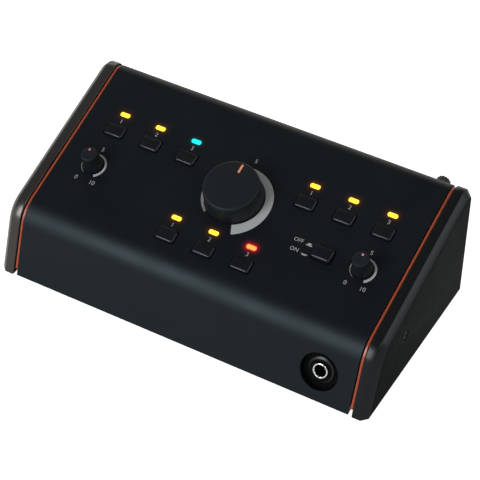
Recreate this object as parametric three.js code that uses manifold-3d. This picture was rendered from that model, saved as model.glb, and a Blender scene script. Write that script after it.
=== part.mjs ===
// A desktop studio monitor controller: a folded steel cover over a steel tray, closed at each end by
// an orange plate and a thick black cheek, with knobs, push buttons and lamps on the sloping panel,
// a headphone socket in the front and the sockets, the inlet and the mains rocker in the rear wall.
// Millimetres, +Z up, +Y towards the rear. The origin is the middle of the base, on the table.

import * as THREE from "three";
import { mergeVertices } from "three/addons/utils/BufferGeometryUtils.js";
import Module from "manifold-3d";

const wasm = await Module();
wasm.setup();

// Folded cover
const coverWidth = 224.4;
const coverDepth = 127.7;
const coverWall = 2;
const bendSetback = 13.5;
const bendHeight = 41.4;
const slopeAngle = THREE.MathUtils.degToRad(19.5);
const frontBendRadius = 21;
const rearBendRadius = 8;

// Tray, plates and cheeks
const trayWall = 1.5;
const trayLip = 4;
const plateThickness = 1.6;
const plateRecess = 0.8;
const plateStandoff = 3.4;
const plateGap = 0.4;
const cheekThickness = 9.25;
const cheekProud = 0.5;
const cheekChamfer = 3.4;
const cheekEdgeBreak = 0.5;
const cheekScrewBack = 46;
const cheekScrewHeight = 28.8;
const screwHeadRadius = 2.7;
const screwHeadHeight = 2;
const screwShankRadius = 1.5;
const screwSunk = 0.4;
const screwReach = 4.5;
const socketRadius = 1.15;
const socketDepth = 1.2;
const screwDomeShare = 0.4;
const screwCrownShare = 0.75;

// Feet
const footHeight = 3;
const footRadius = 7;
const footSole = 5.8;
const footBreak = 0.5;
const footWell = 2.8;
const footFromEnd = 17.2;
const footFromFront = 20;
const footFromRear = 16;
const tabWidth = 16;
const tabAboveScrew = 7;

// Clearances
const seatGap = 0.3;
const holeGap = 0.35;
const bodyCorner = 1;
const shaftGap = 0.2;
const overrun = 1;

// Panel layout: columns as shares of the cover's width, rows as shares of the slope's length, which
// starts at the sharp corner of the front bend
const columnPitchShare = 0.1114;
const sideGroupShare = 0.2901;
const upperLampShare = 0.68304;
const lowerLampShare = 0.26248;
const middleRowShare = 0.36401;
const buttonBelowLamp = 12.3;
const switchBelowKnobs = 0.55;

// Push buttons
const capWidth = 12.4;
const capDepth = 8.3;
const capCorner = 1.5;
const capRound = 0.8;
const capProud = 1.6;
const latchingCapProud = 3;
const capCrown = 0.35;
const capFlangeWidth = 1.1;
const capFlangeHeight = 1;
const capTravel = 1.2;
const latchingCapTravel = 2.2;
const plungerWidth = 3;
const plungerHeight = 3;
const stemWall = 1.2;
const switchWidth = 8;
const switchHeight = 3.4;

// Lamps
const lensWidth = 5.6;
const lensDepth = 2.4;
const lensCorner = 0.9;
const lensProud = 0.3;

// Knobs
const mainKnobBaseRadius = 17.8;
const mainKnobTopRadius = 17;
const mainKnobTop = 14;
const sideKnobBaseRadius = 6.2;
const sideKnobTopRadius = 4.9;
const sideKnobTop = 12.4;
const knobLift = 0.6;
const knobEdge = 0.8;
const mainKnobWall = 2.2;
const sideKnobWall = 1;
const knobCeiling = 3;
const pointerInner = 9.2;
const pointerOuter = 15;
const pointerWidth = 1.4;
const pointerDepth = 0.8;
const inlayGap = 0.12;

// Rotary controls
const mainShaftRadius = 3;
const sideShaftRadius = 2.2;
const shaftTopBelowKnobTop = 3.6;
const bushingWall = 1;
const bushingProud = 3;
const nutRim = 0.5;
const nutHeight = 1.8;
const mainPotWidth = 17;
const sidePotWidth = 10.5;
const potBodyTop = 4.2;
const potShaftDepth = 6;
const potCornerShare = 0.125;
const flatShare = 0.6;

// Boards
const boardThickness = 1.6;
const controlBoardDrop = 14;
const controlBoardFront = 8;
const controlBoardBehindLamps = 6.25;
const boardSideMargin = 9;
const studRadius = 2.5;
const studEdge = 0.5;
const mainBoardLift = 6;
const mainBoardFront = 42;
const mainBoardFromRear = 8.7;
const relaySize = [12, 8, 9];
const relayCount = 9;
const relayRow = 62;

// Headphone socket
const phonesHole = 11.8;
const phonesUp = 18.6;
const phonesFlange = 25;
const phonesFlangeThickness = 3;
const phonesFlangeCorner = 2.5;
const phonesBossRadius = 8.3;
const phonesDish = 1.4;
const phonesBodyRadius = 7.4;
const phonesLength = 21;
const socketBore = 3.5;
const socketBoreDepth = 18;
const ferruleRadius = 5;
const ferruleProud = 0.9;
const ferruleSeat = 1.4;
const ferruleRound = 0.6;
const ferruleShoulderShare = 0.3;

// Rear wall: the first socket and the pitch as shares of the cover's width, heights above its lower edge
const rearPitchShare = 0.1092;
const inputShare = 0.38324;
const inputGap = 3;
const inputHeight = 32;
const inputFlangeWidth = 26;
const inputFlangeHeight = 31;
const inputFlangeThickness = 2.2;
const inputCorner = 2;
const inputBarrelRadius = 11.4;
const inputBarrelLength = 22;
const inputMouthRadius = 9.4;
const inputMouthDepth = 2.2;
const inputPinCircle = 6.4;
const inputPinRadius = 1.3;
const inputPinDepth = 9;
const outputRows = [21, 43];
const outputNutRadius = 5.6;
const outputNutHeight = 2;
const outputBushRadius = 4.7;
const outputBushProud = 2.6;
const outputBodyWidth = 15;
const outputBodyDepth = 20;
const auxHeight = 32;
const auxSpacing = 14;
const auxCollarRadius = 4.15;
const auxCollarBore = 3.2;
const auxCollarLength = 8.5;
const auxContactRadius = 1.6;
const auxPinBore = 0.9;
const auxFlangeWidth = 10;
const auxFlangeThickness = 1;
const auxBodyDepth = 10;
const inletHeight = 32;
const inletFaceWidth = 9;
const inletFaceHeight = 11;
const inletBodyWidth = 11.7;
const inletBodyHeight = 13.2;
const inletBore = 3.1;
const inletPin = 1;
const inletDepth = 10;
const inletProud = 0.6;
const rockerHeight = 32;
const rockerRadius = 6.4;
const rockerWidth = 8.8;
const rockerHub = 2.6;
const rockerTilt = THREE.MathUtils.degToRad(9);
const rockerPivotDepth = 0.6;
const rockerBezelWidth = 15;
const rockerBezelHeight = 21;
const rockerBezelThickness = 1.6;
const rockerBodyDepth = 11;
const rockerBodyWall = 1.6;
const trunnionRadius = 1;
const trunnionReach = 1;
const trimFromEnd = 11.6;
const trimBelowTop = 17.64;
const trimKnobRadius = 4.5;
const trimKnobStart = 0.6;
const trimKnobEnd = 11;
const trimRibs = 14;
const trimRibDepth = 0.4;
const trimShaftRadius = 2.2;
const trimPotWidth = 9.6;
const trimPotDepth = 7;

// Facets
const knobSides = 48;
const roundSides = 28;
const smallSides = 16;
const pinSides = 10;
const studSides = 6;
const crownSides = 224;
const bendSteps = 8;
const edgeSteps = 3;
const cornerSteps = 1;

// Derived places
const rearTopHeight = bendHeight + (coverDepth - bendSetback) * Math.tan(slopeAngle);
const frontAngle = Math.atan2(bendHeight, bendSetback);
const coverEnd = coverWidth / 2;
const plateInner = coverEnd + plateGap;
const plateOuter = plateInner + plateThickness;
const cheekInner = plateOuter + seatGap;
const cheekOuter = cheekInner + cheekThickness;
const slopeLength = (coverDepth - bendSetback) / Math.cos(slopeAngle);
const upperLampRow = slopeLength * upperLampShare;
const lowerLampRow = slopeLength * lowerLampShare;
const middleRow = slopeLength * middleRowShare;
const mainKnobRow = (upperLampRow + lowerLampRow) / 2;
const columnPitch = coverWidth * columnPitchShare;
const sideGroupX = coverWidth * sideGroupShare;
const outerColumnX = sideGroupX + columnPitch;
const footX = coverEnd - footFromEnd;
const controlBoardRear = upperLampRow + controlBoardBehindLamps;
const mainBoardRear = coverDepth - mainBoardFromRear;
const rearPitch = coverWidth * rearPitchShare;
const rightInputX = coverWidth * inputShare;
const leftInputX = rightInputX - inputFlangeWidth - inputGap;
const auxX = leftInputX - rearPitch;
const outputX = [auxX - rearPitch, auxX - rearPitch * 2, auxX - rearPitch * 3];
const inletX = auxX - rearPitch * 4;
const rockerX = auxX - rearPitch * 5;
const trimX = coverEnd - trimFromEnd;
const trimHeight = rearTopHeight - trimBelowTop;
const boardHalfWidth = coverEnd - boardSideMargin;
const frontMost = -cheekProud / Math.sin(frontAngle);
const rearMost = coverDepth + trimKnobEnd;

// A closed geometry as a solid, with shared corners merged and collapsed faces dropped.
function solidOf(geometry) {
  const bare = new THREE.BufferGeometry();
  bare.setAttribute("position", geometry.getAttribute("position").clone());
  bare.setIndex(geometry.index);
  const merged = mergeVertices(bare, 1e-4);
  const corners = merged.index.array;
  const kept = [];
  for (let i = 0; i < corners.length; i += 3) {
    const [a, b, c] = [corners[i], corners[i + 1], corners[i + 2]];
    if (a !== b && b !== c && a !== c) kept.push(a, b, c);
  }
  return new wasm.Manifold(
    new wasm.Mesh({
      numProp: 3,
      vertProperties: merged.getAttribute("position").array,
      triVerts: new Uint32Array(kept),
    }),
  );
}

function geometryOf(solid) {
  const mesh = solid.getMesh();
  const geometry = new THREE.BufferGeometry();
  geometry.setAttribute("position", new THREE.BufferAttribute(mesh.vertProperties, 3));
  geometry.setIndex(new THREE.BufferAttribute(mesh.triVerts, 1));
  const faceted = geometry.toNonIndexed();
  faceted.computeVertexNormals();
  return faceted;
}

function join(first, ...others) {
  return geometryOf(others.reduce((sum, other) => sum.add(solidOf(other)), solidOf(first)));
}

function cut(body, ...tools) {
  return geometryOf(tools.reduce((rest, tool) => rest.subtract(solidOf(tool)), solidOf(body)));
}

function common(first, second) {
  return geometryOf(solidOf(first).intersect(solidOf(second)));
}

function moved(geometry, x, y, z) {
  return geometry.clone().translate(x, y, z);
}

// Shapes drawn in the XY plane and pulled up along Z.
function prism(shape, length, steps = cornerSteps) {
  return new THREE.ExtrudeGeometry(shape, { depth: length, bevelEnabled: false, curveSegments: steps });
}

function block(width, depth, height, base = 0) {
  return new THREE.BoxGeometry(width, depth, height).translate(0, 0, base + height / 2);
}

function rod(radius, height, base = 0, sides = roundSides) {
  const cylinder = new THREE.CylinderGeometry(radius, radius, height, sides);
  return cylinder.rotateX(Math.PI / 2).translate(0, 0, base + height / 2);
}

// A profile of radius and height pairs, turned about Z.
function turned(profile, sides = roundSides) {
  const points = profile.map(([radius, height]) => new THREE.Vector2(radius, height));
  return new THREE.LatheGeometry(points, sides).rotateX(Math.PI / 2);
}

function roundedRectangle(width, height, radius) {
  const [x, y] = [width / 2, height / 2];
  const quarter = Math.PI / 2;
  const shape = new THREE.Shape();
  shape.moveTo(radius - x, -y);
  shape.lineTo(x - radius, -y);
  shape.absarc(x - radius, radius - y, radius, -quarter, 0, false);
  shape.lineTo(x, y - radius);
  shape.absarc(x - radius, y - radius, radius, 0, quarter, false);
  shape.lineTo(radius - x, y);
  shape.absarc(radius - x, y - radius, radius, quarter, 2 * quarter, false);
  shape.lineTo(-x, radius - y);
  shape.absarc(radius - x, radius - y, radius, 2 * quarter, 3 * quarter, false);
  return shape;
}

function hexagon(across) {
  const radius = across / 2 / Math.cos(Math.PI / 6);
  const corners = Array.from({ length: 6 }, (unused, i) => {
    const angle = (i * Math.PI) / 3;
    return new THREE.Vector2(radius * Math.cos(angle), radius * Math.sin(angle));
  });
  return new THREE.Shape(corners);
}

// The wedge's side outline, grown outwards by a distance, from its front foot over the top to its rear
// foot: the two bends are arcs about fixed centres, so every grown outline has as many points.
function wedgeOutline(grow, bottom) {
  const front = new THREE.Vector2(Math.cos(frontAngle), Math.sin(frontAngle));
  const slope = new THREE.Vector2(Math.cos(slopeAngle), Math.sin(slopeAngle));
  const turn = (frontAngle - slopeAngle) / 2;
  const tangent = frontBendRadius * Math.tan(turn);
  const bend = new THREE.Vector2(
    bendSetback - front.x * tangent + front.y * frontBendRadius,
    bendHeight - front.y * tangent - front.x * frontBendRadius,
  );
  const rearY = coverDepth - rearBendRadius;
  const rearZ =
    bendHeight + (rearY - bendSetback) * Math.tan(slopeAngle) - rearBendRadius / Math.cos(slopeAngle);
  const quarter = Math.PI / 2;
  const arc = (y, z, radius, from, to) =>
    Array.from({ length: bendSteps + 1 }, (unused, i) => {
      const angle = from + ((to - from) * i) / bendSteps;
      return new THREE.Vector2(y + radius * Math.cos(angle), z + radius * Math.sin(angle));
    });
  const frontFoot = (bottom * front.x - grow) / front.y;
  return [
    new THREE.Vector2(frontFoot, bottom),
    ...arc(bend.x, bend.y, frontBendRadius + grow, frontAngle + quarter, slopeAngle + quarter),
    ...arc(rearY, rearZ, rearBendRadius + grow, slopeAngle + quarter, 0),
    new THREE.Vector2(coverDepth + grow, bottom),
  ];
}

// A skin through side outlines with equal counts of points, each at its own x, closed at both ends.
function loftAlongX(sections) {
  const count = sections[0].outline.length;
  const positions = sections.flatMap(({ x, outline }) => outline.flatMap((p) => [x, p.x, p.y]));
  const faces = [];
  for (let s = 0; s < sections.length - 1; s++) {
    for (let i = 0; i < count; i++) {
      const j = (i + 1) % count;
      const [a, b, c, d] = [s * count + i, s * count + j, (s + 1) * count + j, (s + 1) * count + i];
      faces.push(a, c, b, a, d, c);
    }
  }
  const cap = THREE.ShapeUtils.triangulateShape(sections[0].outline, []);
  const last = (sections.length - 1) * count;
  for (const [a, b, c] of cap) {
    faces.push(a, c, b);
    faces.push(last + a, last + b, last + c);
  }
  const geometry = new THREE.BufferGeometry();
  geometry.setAttribute("position", new THREE.Float32BufferAttribute(positions, 3));
  geometry.setIndex(faces);
  return outwards(geometry);
}

// The same skin with its faces turned so that they look outwards.
function outwards(geometry) {
  const position = geometry.getAttribute("position");
  const index = geometry.index.array;
  const [a, b, c] = [new THREE.Vector3(), new THREE.Vector3(), new THREE.Vector3()];
  let volume = 0;
  for (let i = 0; i < index.length; i += 3) {
    a.fromBufferAttribute(position, index[i]);
    b.fromBufferAttribute(position, index[i + 1]);
    c.fromBufferAttribute(position, index[i + 2]);
    volume += a.dot(b.cross(c));
  }
  if (volume < 0) geometry.setIndex(Array.from(index).reverse());
  return geometry;
}

function wedge(halfWidth, grow, bottom) {
  const outline = wedgeOutline(grow, bottom);
  return loftAlongX([
    { x: -halfWidth, outline },
    { x: halfWidth, outline },
  ]);
}

// Frames of the three walls, each with Z pointing out of the wall.
function panelMatrix() {
  return new THREE.Matrix4()
    .makeTranslation(0, bendSetback, bendHeight)
    .multiply(new THREE.Matrix4().makeRotationX(slopeAngle));
}

function frontMatrix() {
  return new THREE.Matrix4().makeRotationX(frontAngle);
}

function rearMatrix() {
  return new THREE.Matrix4()
    .makeTranslation(0, coverDepth, 0)
    .multiply(new THREE.Matrix4().makeRotationX(-Math.PI / 2));
}

const lamps = [-1, 0, 1].flatMap((step) => [
  { name: `source_${step + 2}`, x: -sideGroupX + step * columnPitch, y: upperLampRow },
  { name: `mode_${step + 2}`, x: step * columnPitch, y: lowerLampRow },
  { name: `output_${step + 2}`, x: sideGroupX + step * columnPitch, y: upperLampRow },
]);
const buttons = lamps.map(({ name, x, y }) => ({ name, x, y: y - buttonBelowLamp, latching: false }));
buttons.push({ name: "listen_select", x: sideGroupX, y: middleRow - switchBelowKnobs, latching: true });
const controls = [
  { name: "main", x: 0, y: mainKnobRow, side: false },
  { name: "aux", x: -outerColumnX, y: middleRow, side: true },
  { name: "phones", x: outerColumnX, y: middleRow, side: true },
];
const endStudX = boardHalfWidth - studRadius - studEdge;
const studs = [-endStudX, -columnPitch / 2, columnPitch / 2, endStudX];

function shaftRadius(side) {
  return side ? sideShaftRadius : mainShaftRadius;
}

function bushingRadius(side) {
  return shaftRadius(side) + shaftGap + bushingWall;
}

// Folded cover with the openings of its panel, front and rear, and the studs that carry the board.
function makeCover() {
  const shell = cut(
    wedge(coverEnd, 0, 0),
    wedge(coverEnd + overrun, -coverWall, -overrun),
  );
  const through = coverWall + overrun * 2;
  const panelTools = [];
  for (const { x, y } of buttons) {
    const shape = roundedRectangle(capWidth + holeGap * 2, capDepth + holeGap * 2, capCorner);
    panelTools.push(moved(prism(shape, through), x, y, overrun - through));
  }
  for (const { x, y } of lamps) {
    const shape = roundedRectangle(lensWidth + shaftGap * 2, lensDepth + shaftGap * 2, lensCorner);
    panelTools.push(moved(prism(shape, through), x, y, overrun - through));
  }
  for (const { x, y, side } of controls) {
    const hole = rod(bushingRadius(side) + holeGap, through, 0, smallSides);
    panelTools.push(moved(hole, x, y, overrun - through));
  }
  const panelFrame = panelMatrix();
  panelTools.forEach((tool) => tool.applyMatrix4(panelFrame));
  const phones = moved(rod(phonesHole, through, 0, roundSides), outerColumnX, phonesUp, overrun - through);
  phones.applyMatrix4(frontMatrix());
  const rearTools = rearCutouts(through);
  const rearFrame = rearMatrix();
  rearTools.forEach((tool) => tool.applyMatrix4(rearFrame));
  const studLength = controlBoardDrop - coverWall - seatGap;
  const posts = studs.flatMap((x) =>
    [controlBoardFront + studRadius * 2, controlBoardRear - studRadius * 2].map((y) => {
      const post = rod(studRadius, studLength + coverWall / 2, 0, studSides);
      return moved(post, x, y, seatGap - controlBoardDrop).applyMatrix4(panelFrame);
    }),
  );
  return join(cut(shell, ...panelTools, phones, ...rearTools), ...posts);
}

// Openings of the rear wall, in the rear frame, where Y points down.
function rearCutouts(through) {
  const start = overrun - through;
  const tools = [rightInputX, leftInputX].map((x) =>
    moved(rod(inputBarrelRadius + holeGap, through), x, -inputHeight, start),
  );
  for (const x of outputX) {
    for (const height of outputRows) {
      tools.push(moved(rod(outputBushRadius + holeGap, through, 0, smallSides), x, -height, start));
    }
  }
  for (const side of [-1, 1]) {
    const hole = rod(auxCollarRadius + holeGap, through, 0, smallSides);
    tools.push(moved(hole, auxX, (side * auxSpacing) / 2 - auxHeight, start));
  }
  const inlet = block(inletFaceWidth + holeGap * 2, inletFaceHeight + holeGap * 2, through);
  tools.push(moved(inlet, inletX, -inletHeight, start));
  const rockerHole = block(rockerBodyWidth() + holeGap * 2, rockerBodyHeight() + holeGap * 2, through);
  tools.push(moved(rockerHole, rockerX, -rockerHeight, start));
  tools.push(moved(rod(trimShaftRadius + holeGap, through, 0, smallSides), trimX, -trimHeight, start));
  return tools;
}

// Tray with its front and rear lips, inside the cover, the studs of the main board, and an upright tab
// at each end that takes the cheek screw.
function makeTray() {
  const outer = wedge(coverEnd - seatGap, -coverWall - seatGap, 0);
  const inner = wedge(coverEnd + overrun, -coverWall - seatGap - trayWall, trayWall);
  const keep = block(coverWidth * 2, coverDepth * 3, trayLip);
  const folded = common(cut(outer, inner), keep);
  const studHeight = mainBoardLift - trayWall;
  const posts = studs.flatMap((x) =>
    [mainBoardFront + studRadius * 2, mainBoardRear - studRadius * 2].map((y) =>
      moved(rod(studRadius, studHeight + trayWall / 2, trayWall / 2, studSides), x, y, 0),
    ),
  );
  const tabHeight = cheekScrewHeight + tabAboveScrew;
  const tabX = coverEnd - seatGap - trayWall / 2;
  const tabs = [-tabX, tabX].map((x) => moved(block(trayWall, tabWidth, tabHeight), x, cheekScrewBack, 0));
  const hole = rod(screwShankRadius + shaftGap, coverWidth * 2, -coverWidth, smallSides);
  return cut(
    join(folded, ...posts, ...tabs),
    moved(hole.rotateY(Math.PI / 2), 0, cheekScrewBack, cheekScrewHeight),
  );
}

// Orange plate between the cover's end and the cheek: it stops short of the floor and of the rear.
function makePlate() {
  const outline = wedgeOutline(-plateRecess, plateStandoff);
  const whole = loftAlongX([
    { x: plateInner, outline },
    { x: plateOuter, outline },
  ]);
  const rearTrim = block(cheekOuter, coverDepth, rearTopHeight * 2, -rearTopHeight / 2);
  const hole = rod(screwShankRadius + holeGap, plateThickness + overrun * 2, 0, smallSides);
  return cut(
    whole,
    moved(rearTrim, plateOuter, coverDepth * 1.5 - plateStandoff, 0),
    moved(hole.rotateY(Math.PI / 2), plateInner - overrun, cheekScrewBack, cheekScrewHeight),
  );
}

// Thick cheek whose outer edge is chamfered along the front, the slope and the rear.
function makeCheek() {
  const body = loftAlongX([
    { x: cheekInner, outline: wedgeOutline(cheekProud - cheekEdgeBreak, 0) },
    { x: cheekInner + cheekEdgeBreak, outline: wedgeOutline(cheekProud, 0) },
    { x: cheekOuter - cheekChamfer, outline: wedgeOutline(cheekProud, 0) },
    { x: cheekOuter, outline: wedgeOutline(cheekProud - cheekChamfer, 0) },
  ]);
  const headRoom = screwHeadHeight + screwSunk + seatGap;
  const counterbore = rod(screwHeadRadius + holeGap, headRoom + overrun, -headRoom, smallSides);
  const hole = rod(screwShankRadius + holeGap, cheekThickness + overrun * 2, 0, smallSides);
  return cut(
    body,
    moved(counterbore.rotateY(Math.PI / 2), cheekOuter, cheekScrewBack, cheekScrewHeight),
    moved(hole.rotateY(Math.PI / 2), cheekInner - overrun, cheekScrewBack, cheekScrewHeight),
  );
}

// Cheek screw along X with a domed head and a hexagon socket.
function makeCheekScrew() {
  const headTop = cheekOuter - screwSunk;
  const length = headTop - plateInner + screwReach;
  const shoulder = length - screwHeadHeight;
  const dome = screwHeadHeight * screwDomeShare;
  const screw = turned(
    [
      [0, 0],
      [screwShankRadius, 0],
      [screwShankRadius, shoulder],
      [screwHeadRadius, shoulder],
      [screwHeadRadius, length - dome],
      [screwHeadRadius * screwCrownShare, length],
      [0, length],
    ],
    smallSides,
  );
  const socket = moved(prism(hexagon(socketRadius * 2), socketDepth + overrun), 0, 0, length - socketDepth);
  return moved(cut(screw, socket).rotateY(Math.PI / 2), headTop - length, cheekScrewBack, cheekScrewHeight);
}

// Rubber foot: a short cone with a broken lower edge and a screw well in its underside.
function makeFoot() {
  const top = footHeight - seatGap / 2;
  return cut(
    turned(
      [
        [0, 0],
        [footSole, 0],
        [footSole + footBreak, footBreak],
        [footRadius, top],
        [0, top],
      ],
      smallSides,
    ),
    rod(footWell, footHeight / 2 + overrun, -overrun, smallSides),
  );
}

// Push button: a crowned cap, the flange that keeps it under the panel, and a square stem whose
// socket slides down over the switch plunger.
function makeButton(latching) {
  const proud = latching ? latchingCapProud : capProud;
  const travel = latching ? latchingCapTravel : capTravel;
  const flangeTop = -coverWall - seatGap;
  const capHeight = proud - flangeTop;
  const outer = roundedRectangle(capWidth - capRound * 2, capDepth - capRound * 2, capCorner - capRound);
  const cap = new THREE.ExtrudeGeometry(outer, {
    depth: capHeight - capRound,
    bevelThickness: capRound,
    bevelSize: capRound,
    bevelSegments: 2,
    curveSegments: cornerSteps,
  });
  cap.translate(0, 0, flangeTop);
  const crownRadius = (capWidth * capWidth) / (8 * capCrown) + capCrown / 2;
  const crown = rod(crownRadius, capDepth * 2, -capDepth, crownSides);
  crown.rotateX(Math.PI / 2).translate(0, 0, proud - crownRadius);
  const keepWidth = capWidth + capRound;
  const keep = block(keepWidth, capDepth + capRound, capHeight, flangeTop);
  const crowned = common(common(cap, keep), crown);
  const flangeShape = roundedRectangle(
    capWidth + capFlangeWidth * 2,
    capDepth + capFlangeWidth * 2,
    capCorner,
  );
  const flange = prism(flangeShape, capFlangeHeight).translate(0, 0, flangeTop - capFlangeHeight);
  const switchTop = switchHeight - controlBoardDrop;
  const stemBottom = switchTop + travel + seatGap;
  const stemWidth = plungerWidth + (shaftGap + stemWall) * 2;
  const stem = block(stemWidth, stemWidth, flangeTop - stemBottom, stemBottom);
  const bore = plungerWidth + shaftGap * 2;
  const boreTop = switchTop + plungerHeight + travel + seatGap;
  const socket = block(bore, bore, boreTop - stemBottom + overrun, stemBottom - overrun);
  return cut(join(crowned, flange, stem), socket);
}

// Light pipe from the lamp on the board up through the panel.
function makeLens() {
  const bottom = seatGap - controlBoardDrop;
  const shape = roundedRectangle(lensWidth, lensDepth, lensCorner);
  return prism(shape, lensProud - bottom).translate(0, 0, bottom);
}

// Knob: a tapered cup with a rounded upper edge and a hub whose bore takes the shaft.
function makeKnob(baseRadius, topRadius, top, wall, shaft, sides) {
  const ceiling = top - knobCeiling;
  const hubRadius = shaft + shaftGap + wall;
  const hubBottom = bushingProud + seatGap * 2;
  const edge = Array.from({ length: edgeSteps + 1 }, (unused, step) => {
    const angle = ((step / edgeSteps) * Math.PI) / 2;
    return [topRadius - knobEdge * (1 - Math.cos(angle)), top - knobEdge * (1 - Math.sin(angle))];
  });
  const body = turned([[0, knobLift], [baseRadius, knobLift], ...edge, [0, top]], sides);
  const roomBase = baseRadius - wall;
  const roomTop = Math.max(topRadius - wall, hubRadius);
  const room = turned(
    [
      [0, knobLift - overrun],
      [roomBase, knobLift - overrun],
      [roomTop, ceiling],
      [0, ceiling],
    ],
    sides,
  );
  const hub = rod(hubRadius, ceiling - hubBottom + overrun, hubBottom, smallSides);
  const boreTop = top - shaftTopBelowKnobTop + seatGap;
  const bore = rod(shaft + shaftGap, boreTop - hubBottom + overrun, hubBottom - overrun, smallSides);
  return cut(join(cut(body, room), hub), bore);
}

function makeMainKnob() {
  const radii = [mainKnobBaseRadius, mainKnobTopRadius];
  const knob = makeKnob(...radii, mainKnobTop, mainKnobWall, mainShaftRadius, knobSides);
  const length = pointerOuter - pointerInner + inlayGap * 2;
  const width = pointerWidth + inlayGap * 2;
  const groove = block(width, length, pointerDepth + overrun, mainKnobTop - pointerDepth);
  return cut(knob, moved(groove, 0, (pointerOuter + pointerInner) / 2, 0));
}

function makeSideKnob() {
  const radii = [sideKnobBaseRadius, sideKnobTopRadius];
  return makeKnob(...radii, sideKnobTop, sideKnobWall, sideShaftRadius, roundSides);
}

function makePointer() {
  const height = pointerDepth - inlayGap;
  const bar = block(pointerWidth, pointerOuter - pointerInner, height, mainKnobTop - height);
  return moved(bar, 0, (pointerOuter + pointerInner) / 2, 0);
}

// Rotary control: body on the board, threaded bushing through the panel and its hexagon nut.
function makePot(side) {
  const bodyWidth = side ? sidePotWidth : mainPotWidth;
  const outer = bushingRadius(side);
  const bottom = seatGap - controlBoardDrop;
  const bodyShape = roundedRectangle(bodyWidth, bodyWidth, bodyWidth * potCornerShare);
  const body = prism(bodyShape, -potBodyTop - bottom);
  const bushing = rod(outer, bushingProud + potBodyTop + overrun, -potBodyTop - overrun, smallSides);
  const nut = prism(hexagon((outer + nutRim) * 2), nutHeight).translate(0, 0, seatGap);
  const room = bushingProud + potBodyTop + potShaftDepth + shaftGap;
  const bore = rod(shaftRadius(side) + shaftGap, room + overrun, bushingProud - room, smallSides);
  return cut(join(body.translate(0, 0, bottom), bushing, nut), bore);
}

// Control shaft with a flat on one side of its upper end.
function makeShaft(side) {
  const radius = shaftRadius(side);
  const knobTop = side ? sideKnobTop : mainKnobTop;
  const bottom = -potBodyTop - potShaftDepth;
  const top = knobTop - shaftTopBelowKnobTop;
  const shaft = rod(radius, top - bottom, bottom, smallSides);
  const flat = block(radius * 2, radius * 2, top - bushingProud, bushingProud + overrun);
  return cut(shaft, moved(flat, 0, -radius * (1 + flatShare), 0));
}

// Control board under the panel, with the switches and their plungers.
function makeControlBoard() {
  const depth = controlBoardRear - controlBoardFront;
  const board = block(boardHalfWidth * 2, depth, boardThickness, -controlBoardDrop - boardThickness);
  board.translate(0, (controlBoardRear + controlBoardFront) / 2, 0);
  const bases = buttons.map(({ x, y }) => {
    const base = block(switchWidth, switchWidth, switchHeight + boardThickness / 2);
    return moved(base, x, y, -controlBoardDrop - boardThickness / 2);
  });
  const plungers = buttons.map(({ x, y }) => {
    const plunger = block(plungerWidth, plungerWidth, plungerHeight + switchHeight / 2);
    return moved(plunger, x, y, switchHeight / 2 - controlBoardDrop);
  });
  return join(board, ...bases, ...plungers);
}

// Main board on the tray's studs, with a row of relays along it.
function makeMainBoard() {
  const bottom = mainBoardLift + seatGap;
  const depth = mainBoardRear - mainBoardFront;
  const board = block(boardHalfWidth * 2, depth, boardThickness, bottom);
  board.translate(0, (mainBoardRear + mainBoardFront) / 2, 0);
  const [width, length, height] = relaySize;
  const pitch = (boardHalfWidth * 2) / (relayCount + 1);
  const relays = Array.from({ length: relayCount }, (unused, i) => {
    const relay = block(width, length, height + boardThickness / 2, bottom + boardThickness / 2);
    return moved(relay, (i + 1) * pitch - boardHalfWidth, relayRow, 0);
  });
  return join(board, ...relays);
}

// Headphone socket behind the front wall: a square flange with a dished ring, a boss and a barrel.
function makePhonesSocket() {
  const face = -coverWall - seatGap;
  const back = face - phonesFlangeThickness;
  const flangeShape = roundedRectangle(phonesFlange, phonesFlange, phonesFlangeCorner);
  const flange = prism(flangeShape, phonesFlangeThickness);
  const dish = cut(
    rod(phonesHole, phonesDish + overrun, face - phonesDish),
    turned([
      [0, face - phonesDish - overrun],
      [phonesBossRadius, face - phonesDish - overrun],
      [phonesBossRadius, face - phonesDish / 2],
      [phonesBossRadius - phonesDish / 2, face],
      [0, face],
    ]),
  );
  const barrel = rod(phonesBodyRadius, phonesLength - phonesFlangeThickness, face - phonesLength);
  const seat = rod(ferruleRadius + seatGap, ferruleSeat + seatGap + overrun, face - ferruleSeat - seatGap);
  const bore = rod(socketBore, socketBoreDepth + overrun, face - socketBoreDepth);
  const body = join(flange.translate(0, 0, back), moved(barrel, 0, 0, overrun / 2));
  return cut(body, dish, seat, bore);
}

// Bright ring pressed into the socket's boss, with a rounded rim.
function makeFerrule() {
  const face = -coverWall - seatGap;
  const top = face + ferruleProud;
  const middle = (ferruleRadius + socketBore) / 2;
  const shoulder = ferruleRound * ferruleShoulderShare;
  return turned([
    [socketBore, face - ferruleSeat],
    [ferruleRadius, face - ferruleSeat],
    [ferruleRadius, top - ferruleRound],
    [ferruleRadius - shoulder, top - shoulder],
    [middle, top],
    [socketBore + shoulder, top - shoulder],
    [socketBore, top - ferruleRound],
    [socketBore, face - ferruleSeat],
  ]);
}

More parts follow.
